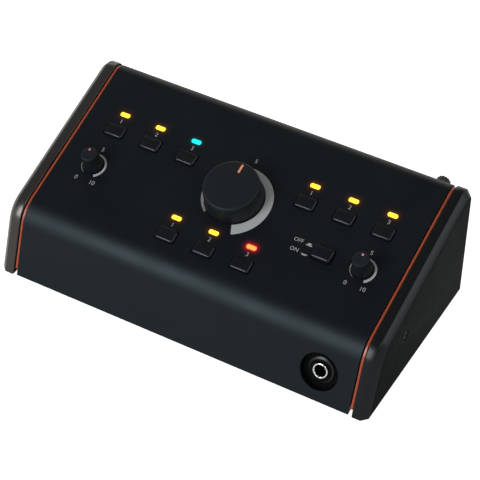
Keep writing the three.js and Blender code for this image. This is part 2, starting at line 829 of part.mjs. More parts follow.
// Combined input socket: a flange on the rear wall, three pin holes and a central jack bore.
function makeInput() {
  const flangeShape = roundedRectangle(inputFlangeWidth, inputFlangeHeight, inputCorner);
  const flange = prism(flangeShape, inputFlangeThickness);
  const barrel = rod(inputBarrelRadius, inputBarrelLength + seatGap + overrun, -inputBarrelLength);
  const mouthTop = seatGap + inputFlangeThickness;
  const body = join(flange.translate(0, 0, seatGap), barrel);
  const mouth = rod(inputMouthRadius, inputMouthDepth + overrun, mouthTop - inputMouthDepth);
  const bore = rod(socketBore, socketBoreDepth + overrun, mouthTop - socketBoreDepth);
  const pins = [0, 1, 2].map((step) => {
    const angle = Math.PI / 2 + (step * Math.PI * 2) / 3;
    const hole = rod(inputPinRadius, inputPinDepth + overrun, mouthTop - inputPinDepth, pinSides);
    return moved(hole, inputPinCircle * Math.cos(angle), inputPinCircle * Math.sin(angle), 0);
  });
  return cut(body, mouth, bore, ...pins);
}

// Output socket: body inside the wall, bushing through it, and a round nut outside.
function makeOutput() {
  const inside = -coverWall - seatGap;
  const body = prism(roundedRectangle(outputBodyWidth, outputBodyWidth, bodyCorner), outputBodyDepth);
  const bushLength = outputBushProud - inside + overrun;
  const bushing = rod(outputBushRadius, bushLength, inside - overrun, smallSides);
  const nut = rod(outputNutRadius, outputNutHeight - seatGap, seatGap, smallSides);
  const boreLength = outputBushProud + socketBoreDepth + overrun;
  const bore = rod(socketBore, boreLength, -socketBoreDepth, smallSides);
  return cut(join(body.translate(0, 0, inside - outputBodyDepth), bushing, nut), bore);
}

// Pair of coaxial sockets on one body: each has a collar round a central contact.
function makeAuxInput() {
  const inside = -coverWall - seatGap;
  const height = auxSpacing + auxFlangeWidth;
  const body = prism(roundedRectangle(auxFlangeWidth, height, bodyCorner), auxBodyDepth);
  const parts = [];
  const holes = [];
  for (const side of [-1, 1]) {
    const y = (side * auxSpacing) / 2;
    const collarLength = auxCollarLength - inside + overrun;
    parts.push(moved(rod(auxCollarRadius, collarLength, inside - overrun, smallSides), 0, y, 0));
    const ring = cut(
      rod(auxCollarBore, auxCollarLength + overrun, 0, smallSides),
      rod(auxContactRadius, auxCollarLength - auxFlangeThickness, -overrun, smallSides),
    );
    holes.push(moved(ring, 0, y, 0));
    holes.push(moved(rod(auxPinBore, auxCollarLength + overrun, auxFlangeThickness, pinSides), 0, y, 0));
  }
  return cut(join(body.translate(0, 0, inside - auxBodyDepth), ...parts), ...holes);
}

// Low-voltage inlet: a square-faced block with a round bore and its centre pin.
function makeInlet() {
  const shoulder = -coverWall - seatGap;
  const face = block(inletFaceWidth, inletFaceHeight, inletProud - shoulder + overrun, shoulder - overrun);
  const body = block(inletBodyWidth, inletBodyHeight, inletDepth, shoulder - inletDepth);
  const bore = rod(inletBore, inletDepth + overrun, inletProud - inletDepth);
  const pin = rod(inletPin, inletDepth, -inletDepth - overrun, pinSides);
  return join(cut(join(face, body), bore), pin);
}

function rockerBodyWidth() {
  return rockerWidth + (shaftGap + rockerBodyWall) * 2;
}

function rockerBodyHeight() {
  return (rockerRadius + seatGap + rockerBodyWall) * 2;
}

// Mains rocker housing: a bezel on the wall and an open box behind it with two trunnion holes.
function makeRockerHousing() {
  const bezelShape = roundedRectangle(rockerBezelWidth, rockerBezelHeight, rockerBodyWall);
  const bezel = prism(bezelShape, rockerBezelThickness).translate(0, 0, seatGap);
  const boxDepth = rockerBodyDepth + seatGap + overrun;
  const box = block(rockerBodyWidth(), rockerBodyHeight(), boxDepth, -rockerBodyDepth);
  const floor = rockerPivotDepth + rockerRadius + seatGap;
  const roomHeight = (rockerRadius + seatGap) * 2;
  const roomDepth = floor + rockerBezelThickness + overrun;
  const room = block(rockerWidth + shaftGap * 2, roomHeight, roomDepth, -floor);
  const pivot = rod(trunnionRadius + shaftGap, rockerBodyWidth() + overrun, 0, smallSides);
  pivot.translate(0, 0, -(rockerBodyWidth() + overrun) / 2).rotateY(Math.PI / 2);
  return cut(join(bezel, box), room, moved(pivot, 0, 0, -rockerPivotDepth));
}

// Rocker: a drum about its pivot whose outer face is a shallow valley, with a trunnion at each end.
function makeRocker() {
  const reach = Math.acos(rockerHub / rockerRadius) - rockerTilt;
  const rim = Array.from({ length: roundSides / 2 + 1 }, (unused, i) => {
    const angle = Math.PI / 2 + reach + ((2 * Math.PI - 2 * reach) * i) / (roundSides / 2);
    return new THREE.Vector2(rockerRadius * Math.cos(angle), rockerRadius * Math.sin(angle));
  });
  const outline = new THREE.Shape([...rim, new THREE.Vector2(0, rockerHub)]);
  const drum = prism(outline, rockerWidth).translate(0, 0, -rockerWidth / 2);
  const axle = rod(trunnionRadius, rockerWidth + trunnionReach * 2, 0, smallSides);
  axle.translate(0, 0, -rockerWidth / 2 - trunnionReach);
  const turnedDrum = join(drum, axle).rotateY(Math.PI / 2).rotateX(Math.PI / 2);
  return turnedDrum.rotateX(-rockerTilt).translate(0, 0, -rockerPivotDepth);
}

// Ribbed trim knob moulded with its shaft.
function makeTrimKnob() {
  const count = trimRibs * 4;
  const outline = Array.from({ length: count }, (unused, i) => {
    const radius = i % 4 < 2 ? trimKnobRadius : trimKnobRadius - trimRibDepth;
    const angle = (i * 2 * Math.PI) / count;
    return new THREE.Vector2(radius * Math.cos(angle), radius * Math.sin(angle));
  });
  const length = trimKnobEnd - trimKnobStart;
  const grip = prism(new THREE.Shape(outline), length).translate(0, 0, trimKnobStart);
  const dome = turned(
    [
      [0, trimKnobStart - overrun],
      [trimKnobRadius + overrun, trimKnobStart - overrun],
      [trimKnobRadius + overrun, trimKnobEnd - knobEdge],
      [trimKnobRadius - knobEdge, trimKnobEnd],
      [0, trimKnobEnd],
    ],
    roundSides,
  );
  const bottom = -coverWall - trimPotDepth / 2;
  const shaft = rod(trimShaftRadius, trimKnobStart - bottom + overrun, bottom, smallSides);
  return join(common(grip, dome), shaft);
}

function makeTrimPot() {
  const inside = -coverWall - seatGap;
  const body = prism(roundedRectangle(trimPotWidth, trimPotWidth, bodyCorner), trimPotDepth);
  const bottom = -coverWall - trimPotDepth / 2 - seatGap;
  const bore = rod(trimShaftRadius + shaftGap, trimPotDepth, bottom, smallSides);
  return cut(body.translate(0, 0, inside - trimPotDepth), bore);
}

function satinBlack() {
  return new THREE.MeshStandardMaterial({ color: 0x1b1e20, roughness: 0.5, metalness: 0.3 });
}

function blackPlastic() {
  return new THREE.MeshStandardMaterial({ color: 0x161819, roughness: 0.42, metalness: 0 });
}

function orangeLacquer() {
  return new THREE.MeshStandardMaterial({ color: 0xd2501e, roughness: 0.25, metalness: 0.1 });
}

function pointerOrange() {
  return new THREE.MeshStandardMaterial({ color: 0xf08a4a, roughness: 0.4, metalness: 0 });
}

function blackRubber() {
  return new THREE.MeshStandardMaterial({ color: 0x121212, roughness: 0.85, metalness: 0 });
}

function brightMetal() {
  return new THREE.MeshStandardMaterial({ color: 0xd8dadb, roughness: 0.15, metalness: 1 });
}

function plainSteel() {
  return new THREE.MeshStandardMaterial({ color: 0x9a9c9e, roughness: 0.35, metalness: 1 });
}

function boardGreen() {
  return new THREE.MeshStandardMaterial({ color: 0x17402a, roughness: 0.5, metalness: 0 });
}

function litLens(color) {
  return new THREE.MeshStandardMaterial({ color, emissive: color, roughness: 0.3, metalness: 0 });
}

function add(group, name, geometry, material, x = 0, y = 0, z = 0) {
  const mesh = new THREE.Mesh(geometry, material);
  mesh.name = name;
  mesh.position.set(x, y, z);
  group.add(mesh);
}

// The same piece on the other side: its corners are mirrored and its faces turned back.
function mirrored(geometry) {
  const copy = geometry.index ? geometry.toNonIndexed() : geometry.clone();
  copy.scale(-1, 1, 1);
  const position = copy.getAttribute("position");
  for (let i = 0; i < position.count; i += 3) {
    const [x, y, z] = [position.getX(i), position.getY(i), position.getZ(i)];
    position.setXYZ(i, position.getX(i + 1), position.getY(i + 1), position.getZ(i + 1));
    position.setXYZ(i + 1, x, y, z);
  }
  copy.computeVertexNormals();
  return copy;
}

function addPair(group, name, geometry, material) {
  add(group, `${name}_right`, geometry, material());
  add(group, `${name}_left`, mirrored(geometry), material());
}

function buildHousing() {
  const group = new THREE.Group();
  add(group, "top_cover", makeCover(), satinBlack());
  add(group, "base_tray", makeTray(), satinBlack());
  addPair(group, "accent_plate", makePlate(), orangeLacquer);
  addPair(group, "cheek", makeCheek(), satinBlack);
  addPair(group, "cheek_screw", makeCheekScrew(), plainSteel);
  const foot = makeFoot();
  for (const [end, y] of [["front", footFromFront], ["rear", coverDepth - footFromRear]]) {
    add(group, `foot_${end}_left`, foot.clone(), blackRubber(), -footX, y, -footHeight);
    add(group, `foot_${end}_right`, foot.clone(), blackRubber(), footX, y, -footHeight);
  }
  return group;
}

function buildPanel() {
  const group = new THREE.Group();
  group.applyMatrix4(panelMatrix());
  const lensColors = { source_3: 0x2fd6dc, mode_3: 0xff2a1e };
  const lens = makeLens();
  for (const { name, x, y } of lamps) {
    add(group, `lens_${name}`, lens.clone(), litLens(lensColors[name] ?? 0xffb21e), x, y);
  }
  const [momentary, latch] = [makeButton(false), makeButton(true)];
  for (const { name, x, y, latching } of buttons) {
    add(group, `button_${name}`, latching ? latch : momentary.clone(), blackPlastic(), x, y);
  }
  for (const { name, x, y, side } of controls) {
    add(group, `${name}_knob`, side ? makeSideKnob() : makeMainKnob(), blackPlastic(), x, y);
    add(group, `${name}_pot`, makePot(side), plainSteel(), x, y);
    add(group, `${name}_pot_shaft`, makeShaft(side), plainSteel(), x, y);
    if (!side) add(group, "main_knob_pointer", makePointer(), pointerOrange(), x, y);
  }
  add(group, "control_board", makeControlBoard(), boardGreen());
  return group;
}

function buildFront() {
  const group = new THREE.Group();
  group.applyMatrix4(frontMatrix());
  add(group, "phones_socket", makePhonesSocket(), blackPlastic(), outerColumnX, phonesUp);
  add(group, "phones_ferrule", makeFerrule(), brightMetal(), outerColumnX, phonesUp);
  return group;
}

function buildRear() {
  const group = new THREE.Group();
  group.applyMatrix4(rearMatrix());
  add(group, "input_right", makeInput(), blackPlastic(), rightInputX, -inputHeight);
  add(group, "input_left", makeInput(), blackPlastic(), leftInputX, -inputHeight);
  outputX.forEach((x, i) => {
    add(group, `output_${i + 1}_right`, makeOutput(), blackPlastic(), x, -outputRows[0]);
    add(group, `output_${i + 1}_left`, makeOutput(), blackPlastic(), x, -outputRows[1]);
  });
  add(group, "aux_input", makeAuxInput(), blackPlastic(), auxX, -auxHeight);
  add(group, "power_inlet", makeInlet(), blackPlastic(), inletX, -inletHeight);
  add(group, "power_rocker_housing", makeRockerHousing(), blackPlastic(), rockerX, -rockerHeight);
  add(group, "power_rocker", makeRocker(), blackPlastic(), rockerX, -rockerHeight);
  add(group, "rear_trim_knob", makeTrimKnob(), blackPlastic(), trimX, -trimHeight);
  add(group, "rear_trim_pot", makeTrimPot(), plainSteel(), trimX, -trimHeight);
  return group;
}

const controller = new THREE.Group();
controller.position.set(0, -(frontMost + rearMost) / 2, footHeight);
controller.add(buildHousing(), buildPanel(), buildFront(), buildRear());
add(controller, "main_board", makeMainBoard(), boardGreen());
const root = new THREE.Group();
root.add(controller);

export default root;
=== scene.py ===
# Desktop studio monitor controller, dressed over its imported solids.
# Lengths are in millimetres where a name or a dictionary holds them, and in metres in the scene.

import math

import bmesh
import bpy
import numpy as np
from mathutils import Matrix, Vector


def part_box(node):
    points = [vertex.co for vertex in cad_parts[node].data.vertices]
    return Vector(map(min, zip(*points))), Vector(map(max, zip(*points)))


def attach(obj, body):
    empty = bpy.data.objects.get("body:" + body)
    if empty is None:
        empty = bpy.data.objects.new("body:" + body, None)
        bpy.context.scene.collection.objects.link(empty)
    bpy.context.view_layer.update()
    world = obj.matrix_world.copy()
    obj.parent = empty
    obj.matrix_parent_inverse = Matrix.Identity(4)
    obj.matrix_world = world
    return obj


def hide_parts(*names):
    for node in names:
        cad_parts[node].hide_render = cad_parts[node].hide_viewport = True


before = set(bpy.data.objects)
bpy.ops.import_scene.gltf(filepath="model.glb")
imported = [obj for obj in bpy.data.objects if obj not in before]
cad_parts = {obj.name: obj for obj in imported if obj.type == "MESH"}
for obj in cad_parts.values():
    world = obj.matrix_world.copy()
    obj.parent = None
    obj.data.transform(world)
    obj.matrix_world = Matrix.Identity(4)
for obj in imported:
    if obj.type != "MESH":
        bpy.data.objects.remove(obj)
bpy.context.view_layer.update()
mm = 0.001
print("frame loaded:", len(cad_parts), "nodes")


# helpers for the scene and for shader nodes

def show(thing):
    bpy.context.scene.collection.objects.link(thing)
    return thing


def opaque(colour):
    return (*colour, 1.0)


def feed(tree, node, inputs):
    # each named or numbered input is linked, where a socket is given for it, or set to a value
    for key, value in dict(inputs).items():
        if isinstance(value, bpy.types.NodeSocket):
            tree.links.new(value, node.inputs[key])
        else:
            node.inputs[key].default_value = value


def addNode(tree, kind, inputs=(), **settings):
    node = tree.nodes.new("ShaderNode" + kind)
    for name, value in settings.items():
        setattr(node, name, value)
    feed(tree, node, inputs)
    return node


def addNumber(tree, operation, *values):
    return addNode(tree, "Math", enumerate(values), operation=operation).outputs[0]


def addVector(tree, operation, *values):
    node = addNode(tree, "VectorMath", enumerate(values), operation=operation)
    return node.outputs["Value" if operation == "LENGTH" else "Vector"]


def addScaled(tree, vector, scale):
    return addNode(tree, "VectorMath", {0: vector, "Scale": scale}, operation="SCALE").outputs["Vector"]


def addBlend(tree, factor, first, second, kind="FLOAT"):
    inputs = {"Factor": factor, "A": first, "B": second}
    return addNode(tree, "Mix", inputs, data_type=kind).outputs["Result"]


def meshValue(tree, name):
    # the value of that name that the mesh itself carries
    return addNode(tree, "Attribute", attribute_name=name).outputs["Fac"]


def newFinish(name):
    finish = bpy.data.materials.new(name)
    finish.use_nodes = True
    return finish, finish.node_tree, finish.node_tree.nodes["Principled BSDF"]


# camera and light

white = (1.0, 1.0, 1.0)
cameraView = {
    "place": (0.395566, -0.699373, 0.761841),
    "turn": (47.6331, -0.5599, 29.8131),  # degrees about X, Y and Z
    "lens": 137.05,
    "sensor": 36.0,
    "clip": (0.01, 20.0),
}


def placeCamera(view):
    data = bpy.data.cameras.new("photoCamera")
    data.lens, data.sensor_width, data.sensor_height = view["lens"], view["sensor"], view["sensor"]
    data.clip_start, data.clip_end = view["clip"]
    camera = show(bpy.data.objects.new("photoCamera", data))
    camera.location = view["place"]
    camera.rotation_euler = [math.radians(angle) for angle in view["turn"]]
    bpy.context.scene.camera = camera


placeCamera(cameraView)

studio = {
    "softboxes": {
        # direction, distance, width and height, power in watts, colour
        "keySoftbox": ((-0.32, -0.78, 0.50), 2.2, (1.0, 1.1), 29.0, white),
        "backSoftbox": ((0.55, 0.75, 0.55), 2.4, (1.6, 1.2), 4.0, white),
        "sideSoftbox": ((0.86, 0.22, 0.46), 2.0, (0.9, 0.5), 3.2, (0.92, 0.97, 1.0)),
        "rimSoftbox": ((-0.44, 0.70, 0.58), 0.95, (0.7, 0.36), 1.10, (1.0, 0.86, 0.70)),
        "fillSoftbox": ((0.61, -0.25, 0.75), 2.2, (0.5, 0.5), 6.0, white),
        "rearSoftbox": ((-0.25, 0.95, 0.12), 2.4, (1.8, 0.5), 3.0, (1.0, 0.92, 0.84)),
    },
    "ambient": (0.40, 0.112),  # at the horizon and at the zenith
    "ambientReach": 0.9,
    "mirrored": (0.80, 0.176),  # the backdrop in glossy things, pale under a dark ceiling
    "mirrorReach": 0.62,
    "floorColour": (0.80, 0.80, 0.80),
    "floorMirrored": (0.20, 0.20, 0.20),  # in glossy things, where its shadow hardly shows
    "floorRoughness": 0.9,
    "floorLift": 0.86,
    "floorMirrorLift": 0.53,
    "floorSize": 6.0,
}


def placeSoftbox(name, toward, distance, size, power, colour):
    data = bpy.data.lights.new(name, "AREA")
    data.color = colour
    data.shape = "RECTANGLE"
    data.size, data.size_y = size
    data.energy = power
    direction = np.array(toward) / np.linalg.norm(toward)
    side = np.cross((0.0, 0.0, 1.0), direction)
    side /= np.linalg.norm(side)
    up = np.cross(direction, side)
    turn = Matrix(np.column_stack([side, up, direction]).tolist()).to_4x4()
    lamp = show(bpy.data.objects.new(name, data))
    lamp.matrix_world = Matrix.Translation(direction * distance) @ turn


def makeBackdrop(look):
    # diffuse rays find the studio's soft light, mirror rays its pale horizon, and the camera white
    world = bpy.data.worlds.new("paleStudio")
    bpy.context.scene.world = world
    world.use_nodes = True
    tree = world.node_tree
    tree.nodes.clear()
    place = addNode(tree, "TexCoord").outputs["Generated"]
    up = addNode(tree, "SeparateXYZ", {0: place}).outputs["Z"]
    ray = addNode(tree, "LightPath").outputs

    def fadeUp(levels, reach):
        horizon, zenith = levels
        inputs = {"Value": up, "From Max": reach, "To Min": horizon, "To Max": zenith}
        return addNode(tree, "MapRange", inputs, interpolation_type="SMOOTHSTEP").outputs["Result"]

    mirror = addNumber(tree, "MAXIMUM", ray["Is Glossy Ray"], ray["Is Transmission Ray"])
    soft = fadeUp(look["ambient"], look["ambientReach"])
    shine = fadeUp(look["mirrored"], look["mirrorReach"])
    level = addBlend(tree, ray["Is Camera Ray"], addBlend(tree, mirror, soft, shine), 1.0)
    backdrop = addNode(tree, "Background", {"Color": opaque(white), "Strength": level})
    addNode(tree, "OutputWorld", {"Surface": backdrop.outputs[0]})


def makeFloor(look):
    # the camera finds the floor lifted to white with a trace of shadow, and glossy things find it
    # lifted by less
    half = look["floorSize"] / 2
    corners = [(-half, -half, 0), (half, -half, 0), (half, half, 0), (-half, half, 0)]
    data = bpy.data.meshes.new("floor")
    data.from_pydata(corners, [], [(0, 1, 2, 3)])
    paint, tree, shader = newFinish("paleFloor")
    ray = addNode(tree, "LightPath").outputs
    plain, mirrored = opaque(look["floorColour"]), opaque(look["floorMirrored"])
    lift = addNumber(tree, "MULTIPLY_ADD", ray["Is Camera Ray"], look["floorLift"], 0.0)
    for kind in ("Is Glossy Ray", "Is Transmission Ray"):
        lift = addNumber(tree, "MULTIPLY_ADD", ray[kind], look["floorMirrorLift"], lift)
    feed(tree, shader, {
        "Base Color": addBlend(tree, ray["Is Glossy Ray"], plain, mirrored, "RGBA"),
        "Roughness": look["floorRoughness"],
        "Specular IOR Level": 0.0,
        "Emission Color": opaque(white),
        "Emission Strength": lift,
    })
    data.materials.append(paint)
    show(bpy.data.objects.new("floor", data))


for name, softbox in studio["softboxes"].items():
    placeSoftbox(name, *softbox)
makeBackdrop(studio)
makeFloor(studio)
bpy.context.scene.view_settings.view_transform = "Standard"
print("camera and light placed")


# where the walls are

coverLow = np.array(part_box("top_cover")[0]) / mm
chassis = np.array([0.0, coverLow[1], coverLow[2]])  # the cover's lower front edge, in the frame
walls = {
    "coverHalf": 112.2,
    "depth": 127.7,
    "sheet": 2.0,
    "bendBack": 13.5,
    "bendHeight": 41.4,
    "slope": math.radians(19.5),
    "frontBend": 21.0,
    "rearBend": 8.0,
    "bendSteps": 26,
}
frontTilt = math.atan2(walls["bendHeight"], walls["bendBack"])


def turnAboutX(angle, origin):
    c, s = math.cos(angle), math.sin(angle)
    matrix = np.eye(4)
    matrix[:3, :3] = [[1, 0, 0], [0, c, -s], [0, s, c]]
    matrix[:3, 3] = np.array(origin) + chassis
    return matrix


# Each wall's own axes: X to the right, Z out of the wall.
standing = turnAboutX(0.0, (0, 0, 0))
panel = turnAboutX(walls["slope"], (0, walls["bendBack"], walls["bendHeight"]))
front = turnAboutX(frontTilt, (0, 0, 0))
rear = turnAboutX(-math.pi / 2, (0, walls["depth"], 0))

# a bevel's normal lies along its wall's by a share between these two, and a near one looks round
# by more than the third
bevelLook = {"least": 0.12, "most": 0.97, "near": 0.05}


def markEdges(piece, isEdge):
    # "edge" is 1 on the faces whose normal passes the test, and 0 elsewhere
    edge = piece.data.attributes.new("edge", "FLOAT", "FACE")
    edge.data.foreach_set("value", [float(isEdge(face.normal)) for face in piece.data.polygons])


def isBevelOf(wall):
    # a face is a bevel of a wall's piece when it looks neither straight out of the wall nor along it
    out = wall[:3, 2]
    return lambda normal: bevelLook["least"] < abs(np.dot(normal, out)) < bevelLook["most"]


def isNearBevelOf(wall):
    # a bevel on the side that is turned to the user or to the right; only these get the caps' glossier edge
    # finish, a painted highlight
    bevel, near = isBevelOf(wall), wall[:3, 0] - wall[:3, 1]
    return lambda normal: bevel(normal) and np.dot(normal, near) > bevelLook["near"]


def turnedIn(points, wall):
    # points in a wall's millimetres, put into the frame
    return np.asarray(points, dtype=float).reshape(-1, 3) @ wall[:3, :3].T + wall[:3, 3]


def pointsOn(wall, piece):
    # the piece's vertices in the wall's millimetres
    return (np.array([v.co for v in piece.data.vertices]) / mm - wall[:3, 3]) @ wall[:3, :3]


def writeValues(piece, name, values):
    # one value from 0 to 1 for each point, for the finish to read
    layer = piece.data.attributes.new(name, "FLOAT", "POINT")
    layer.data.foreach_set("value", np.clip(values, 0, 1).astype(np.float32))


# shapes

meshLook = {
    "merge": 2e-6,  # in metres
    "collapse": 1e-7,
    "flatAngle": 1.0,
    "softSegments": 2,
    "softAngle": 40.0,
    "smoothAngle": 30.0,
    "solidSmooth": 38.0,  # for a copied solid
}


def gridFaces(rows, columns):
    # quads between neighbouring rows of a grid, whose columns close into a ring
    row = np.arange(rows - 1)[:, None] * columns
    here = np.arange(columns)[None, :]
    after = (here + 1) % columns
    quads = np.stack([row + here, row + after, row + columns + after, row + columns + here], axis=-1)
    return quads.reshape(-1, 4)


def tidyMesh(data, isSolid=False):
    # doubles merged, collapsed faces dropped and all faces turned outwards; a copied solid's faces
    # look outwards already, and its flat ones are joined
    shape = bmesh.new()
    shape.from_mesh(data)
    bmesh.ops.remove_doubles(shape, verts=shape.verts, dist=meshLook["merge"])
    if isSolid:
        flat = math.radians(meshLook["flatAngle"])
        bmesh.ops.dissolve_limit(shape, angle_limit=flat, verts=shape.verts, edges=shape.edges)
    else:
        bmesh.ops.dissolve_degenerate(shape, dist=meshLook["collapse"], edges=shape.edges)
        bmesh.ops.recalc_face_normals(shape, faces=shape.faces)
    shape.to_mesh(data)
    shape.free()


def smoothOver(data, degrees):
    data.polygons.foreach_set("use_smooth", np.ones(len(data.polygons), dtype=bool))
    data.set_sharp_from_angle(angle=math.radians(degrees))


def giveFinish(data, finish):
    data.materials.clear()
    data.materials.append(finish)


def newShape(name, points, faces):
    # a closed surface from points in the frame's millimetres
    data = bpy.data.meshes.new(name)
    data.from_pydata((points * mm).tolist(), [], [tuple(face) for face in faces])
    tidyMesh(data)
    return show(bpy.data.objects.new(name, data))


def makePiece(name, surface, wall, finish, node="", smooth=meshLook["smoothAngle"], body="housing"):
    # a closed surface in a wall's millimetres, put into the frame and given its body and finish; the
    # solid that it replaces, if any, is hidden
    points, faces = surface
    piece = newShape(name, turnedIn(points, wall), faces)
    smoothOver(piece.data, smooth)
    giveFinish(piece.data, finish)
    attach(piece, body)
    if node:
        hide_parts(node)
    return piece


def softenEdges(piece, width):
    bevel = piece.modifiers.new("softEdge", "BEVEL")
    bevel.width = width * mm
    bevel.segments = meshLook["softSegments"]
    bevel.limit_method = "ANGLE"
    bevel.angle_limit = math.radians(meshLook["softAngle"])
    bevel.harden_normals = True
    bevel.use_clamp_overlap = True


def finishedMesh(thing):
    # the mesh that the thing's modifiers or letters come to
    graph = bpy.context.evaluated_depsgraph_get()
    return bpy.data.meshes.new_from_object(thing.evaluated_get(graph), depsgraph=graph)


def keepModifiers(piece):
    # the mesh as the modifiers leave it becomes the piece's own
    solid = finishedMesh(piece)
    piece.modifiers.clear()
    solid.name = piece.name
    piece.data = solid


def cutAway(piece, tool, smooth=meshLook["smoothAngle"]):
    # the tool's space is taken out of the piece, and the tool is removed
    finish = piece.data.materials[0]
    cut = piece.modifiers.new("opening", "BOOLEAN")
    cut.operation = "DIFFERENCE"
    cut.solver = "EXACT"
    cut.object = tool
    keepModifiers(piece)
    bpy.data.objects.remove(tool)
    giveFinish(piece.data, finish)
    smoothOver(piece.data, smooth)


def evenAngles(count):
    return np.linspace(0, 2 * np.pi, count, endpoint=False)


def ring(radius, height, count):
    # a loop about Z at even angles: a circle, or any outline where each angle has its own radius
    angle = evenAngles(count)
    return np.column_stack([radius * np.cos(angle), radius * np.sin(angle), np.full(count, float(height))])


def squareLoop(width, height, count):
    # a square at even angles, so that its points pair with a circle's
    angle = evenAngles(count)
    return ring(width / 2 / np.maximum(np.abs(np.cos(angle)), np.abs(np.sin(angle))), height, count)


def hexLoop(across, height, count):
    # a hexagon at even angles, the same way
    angle = evenAngles(count)
    return ring(across / 2 / np.cos((angle + np.pi / 6) % (np.pi / 3) - np.pi / 6), height, count)


def roundedLoop(width, depth, corner, height, perCorner=8, leastCorner=0.001):
    # a rectangle with round corners: each corner is a quarter circle about its own centre
    corner = max(min(corner, width / 2, depth / 2), leastCorner)
    quarters = []
    for turn, (sx, sy) in enumerate([(1, 1), (-1, 1), (-1, -1), (1, -1)]):
        centre = np.array([sx * (width / 2 - corner), sy * (depth / 2 - corner)])
        swing = np.linspace(0, np.pi / 2, perCorner) + turn * np.pi / 2
        quarters.append(centre + corner * np.column_stack([np.cos(swing), np.sin(swing)]))
    flat = np.vstack(quarters)
    return np.column_stack([flat, np.full(len(flat), float(height))])


def quarterRound(reach, steps=6):
    # a rounded edge from the side to the top: how far in and how far below the top each point lies
    return [(reach * (1 - math.cos(a)), reach * (1 - math.sin(a))) for a in np.linspace(0, np.pi / 2, steps)]


def skinOver(loops):
    # quads between equal loops
    return np.vstack(loops), gridFaces(len(loops), len(loops[0]))


def stackLoops(loops):
    # a skin over equal loops, closed at both ends by shrinking the end loops to their middles
    low, high = (np.tile(end.mean(axis=0), (len(end), 1)) for end in (loops[0], loops[-1]))
    return skinOver([low, *loops, high])


def faceEnds(loops):
    # a skin over equal loops, closed by one face at each end
    points, quads = skinOver(loops)
    count, total = len(loops[0]), len(points)
    return points, [*quads, range(count), range(total - count, total)]


def turnedSolid(profile, count):
    # radius and height pairs, from the axis over the outside and back to the axis, swept about Z
    return stackLoops([ring(radius, height, count) for radius, height in profile])


def shifted(surface, x, y):
    # moved along its wall
    points, faces = surface
    return points + [x, y, 0], faces


def joinSurfaces(surfaces):
    # several closed surfaces as one
    points, faces, count = [], [], 0
    for partPoints, partFaces in surfaces:
        points.append(partPoints)
        faces.append(partFaces + count)
        count += len(partPoints)
    return np.vstack(points), np.vstack(faces)


def wedgeOutline(grow, bottom):
    # the housing's side outline grown outwards: two straight walls, the slope, and arcs between them
    fy, fz = math.cos(frontTilt), math.sin(frontTilt)
    sy, sz = math.cos(walls["slope"]), math.sin(walls["slope"])
    tangent = walls["frontBend"] * math.tan((frontTilt - walls["slope"]) / 2)
    bendY = walls["bendBack"] - fy * tangent + fz * walls["frontBend"]
    bendZ = walls["bendHeight"] - fz * tangent - fy * walls["frontBend"]
    rearY = walls["depth"] - walls["rearBend"]
    rearZ = walls["bendHeight"] + (rearY - walls["bendBack"]) * sz / sy - walls["rearBend"] / sy
    quarter = math.pi / 2

    def arc(start, end, radius, centre):
        swing = np.linspace(start, end, walls["bendSteps"])
        return np.column_stack([np.cos(swing), np.sin(swing)]) * (radius + grow) + centre

    return np.vstack([
        [[(bottom * fy - grow) / fz, bottom]],
        arc(frontTilt + quarter, walls["slope"] + quarter, walls["frontBend"], [bendY, bendZ]),
        arc(walls["slope"] + quarter, 0, walls["rearBend"], [rearY, rearZ]),
        [[walls["depth"] + grow, bottom]],
    ])


def outlineAt(x, outline):
    # a side outline, set at its distance from the middle
    return np.column_stack([np.full(len(outline), float(x)), outline])


# finishes

usualLook = {
    "metal": 0.0,
    "specular": 0.5,
    "sheen": white,
    "coat": 0.0,
    "coatRoughness": 0.1,
    "stretch": (1.0, 1.0, 1.0),
    "cloudScale": 45.0,
    "cloudDetail": 5.0,
    "cloudSpan": (0.3, 0.7),  # of the noise, over which the roughness runs
    "grainScale": 2200.0,
    "grainDetail": 3.0,
    "grainStrength": 0.15,
    "grainDepth": 0.05,
}


def baseFinish(name, ownLook):
    # cloud varies the colour and the gloss over the surface, and grain is a fine bump; the mesh's own
    # "edge" value, 1 on bevelled faces, moves specular and roughness to their levels on edges
    look = {**usualLook, **ownLook}
    finish, tree, shader = newFinish(name)
    place = addNode(tree, "TexCoord").outputs["Object"]
    place = addNode(tree, "Mapping", {"Vector": place, "Scale": look["stretch"]}).outputs["Vector"]

    def noise(kind):
        inputs = {"Vector": place, "Scale": look[kind + "Scale"], "Detail": look[kind + "Detail"]}
        return addNode(tree, "TexNoise", inputs).outputs["Fac"]

    cloud, grain = noise("cloud"), noise("grain")
    limits = zip(("From Min", "From Max", "To Min", "To Max"), (*look["cloudSpan"], *look["roughness"]))
    gloss = addNode(tree, "MapRange", {"Value": cloud, **dict(limits)}).outputs["Result"]
    bump = {"Height": grain, "Strength": look["grainStrength"], "Distance": look["grainDepth"] * mm}
    feed(tree, shader, {
        "Base Color": addBlend(tree, cloud, opaque(look["colour"]), opaque(look["shade"]), "RGBA"),
        "Metallic": look["metal"],
        "Roughness": gloss,
        "Specular IOR Level": look["specular"],
        "Specular Tint": opaque(look["sheen"]),
        "Coat Weight": look["coat"],
        "Coat Roughness": look["coatRoughness"],
        "Normal": addNode(tree, "Bump", bump).outputs["Normal"],
    })
    for socket, key, plain in (("Specular IOR Level", "edgeSpecular", look["specular"]),
                               ("Roughness", "edgeRoughness", gloss)):
        if key in look:
            feed(tree, shader, {socket: addBlend(tree, meshValue(tree, "edge"), plain, look[key])})
    return finish


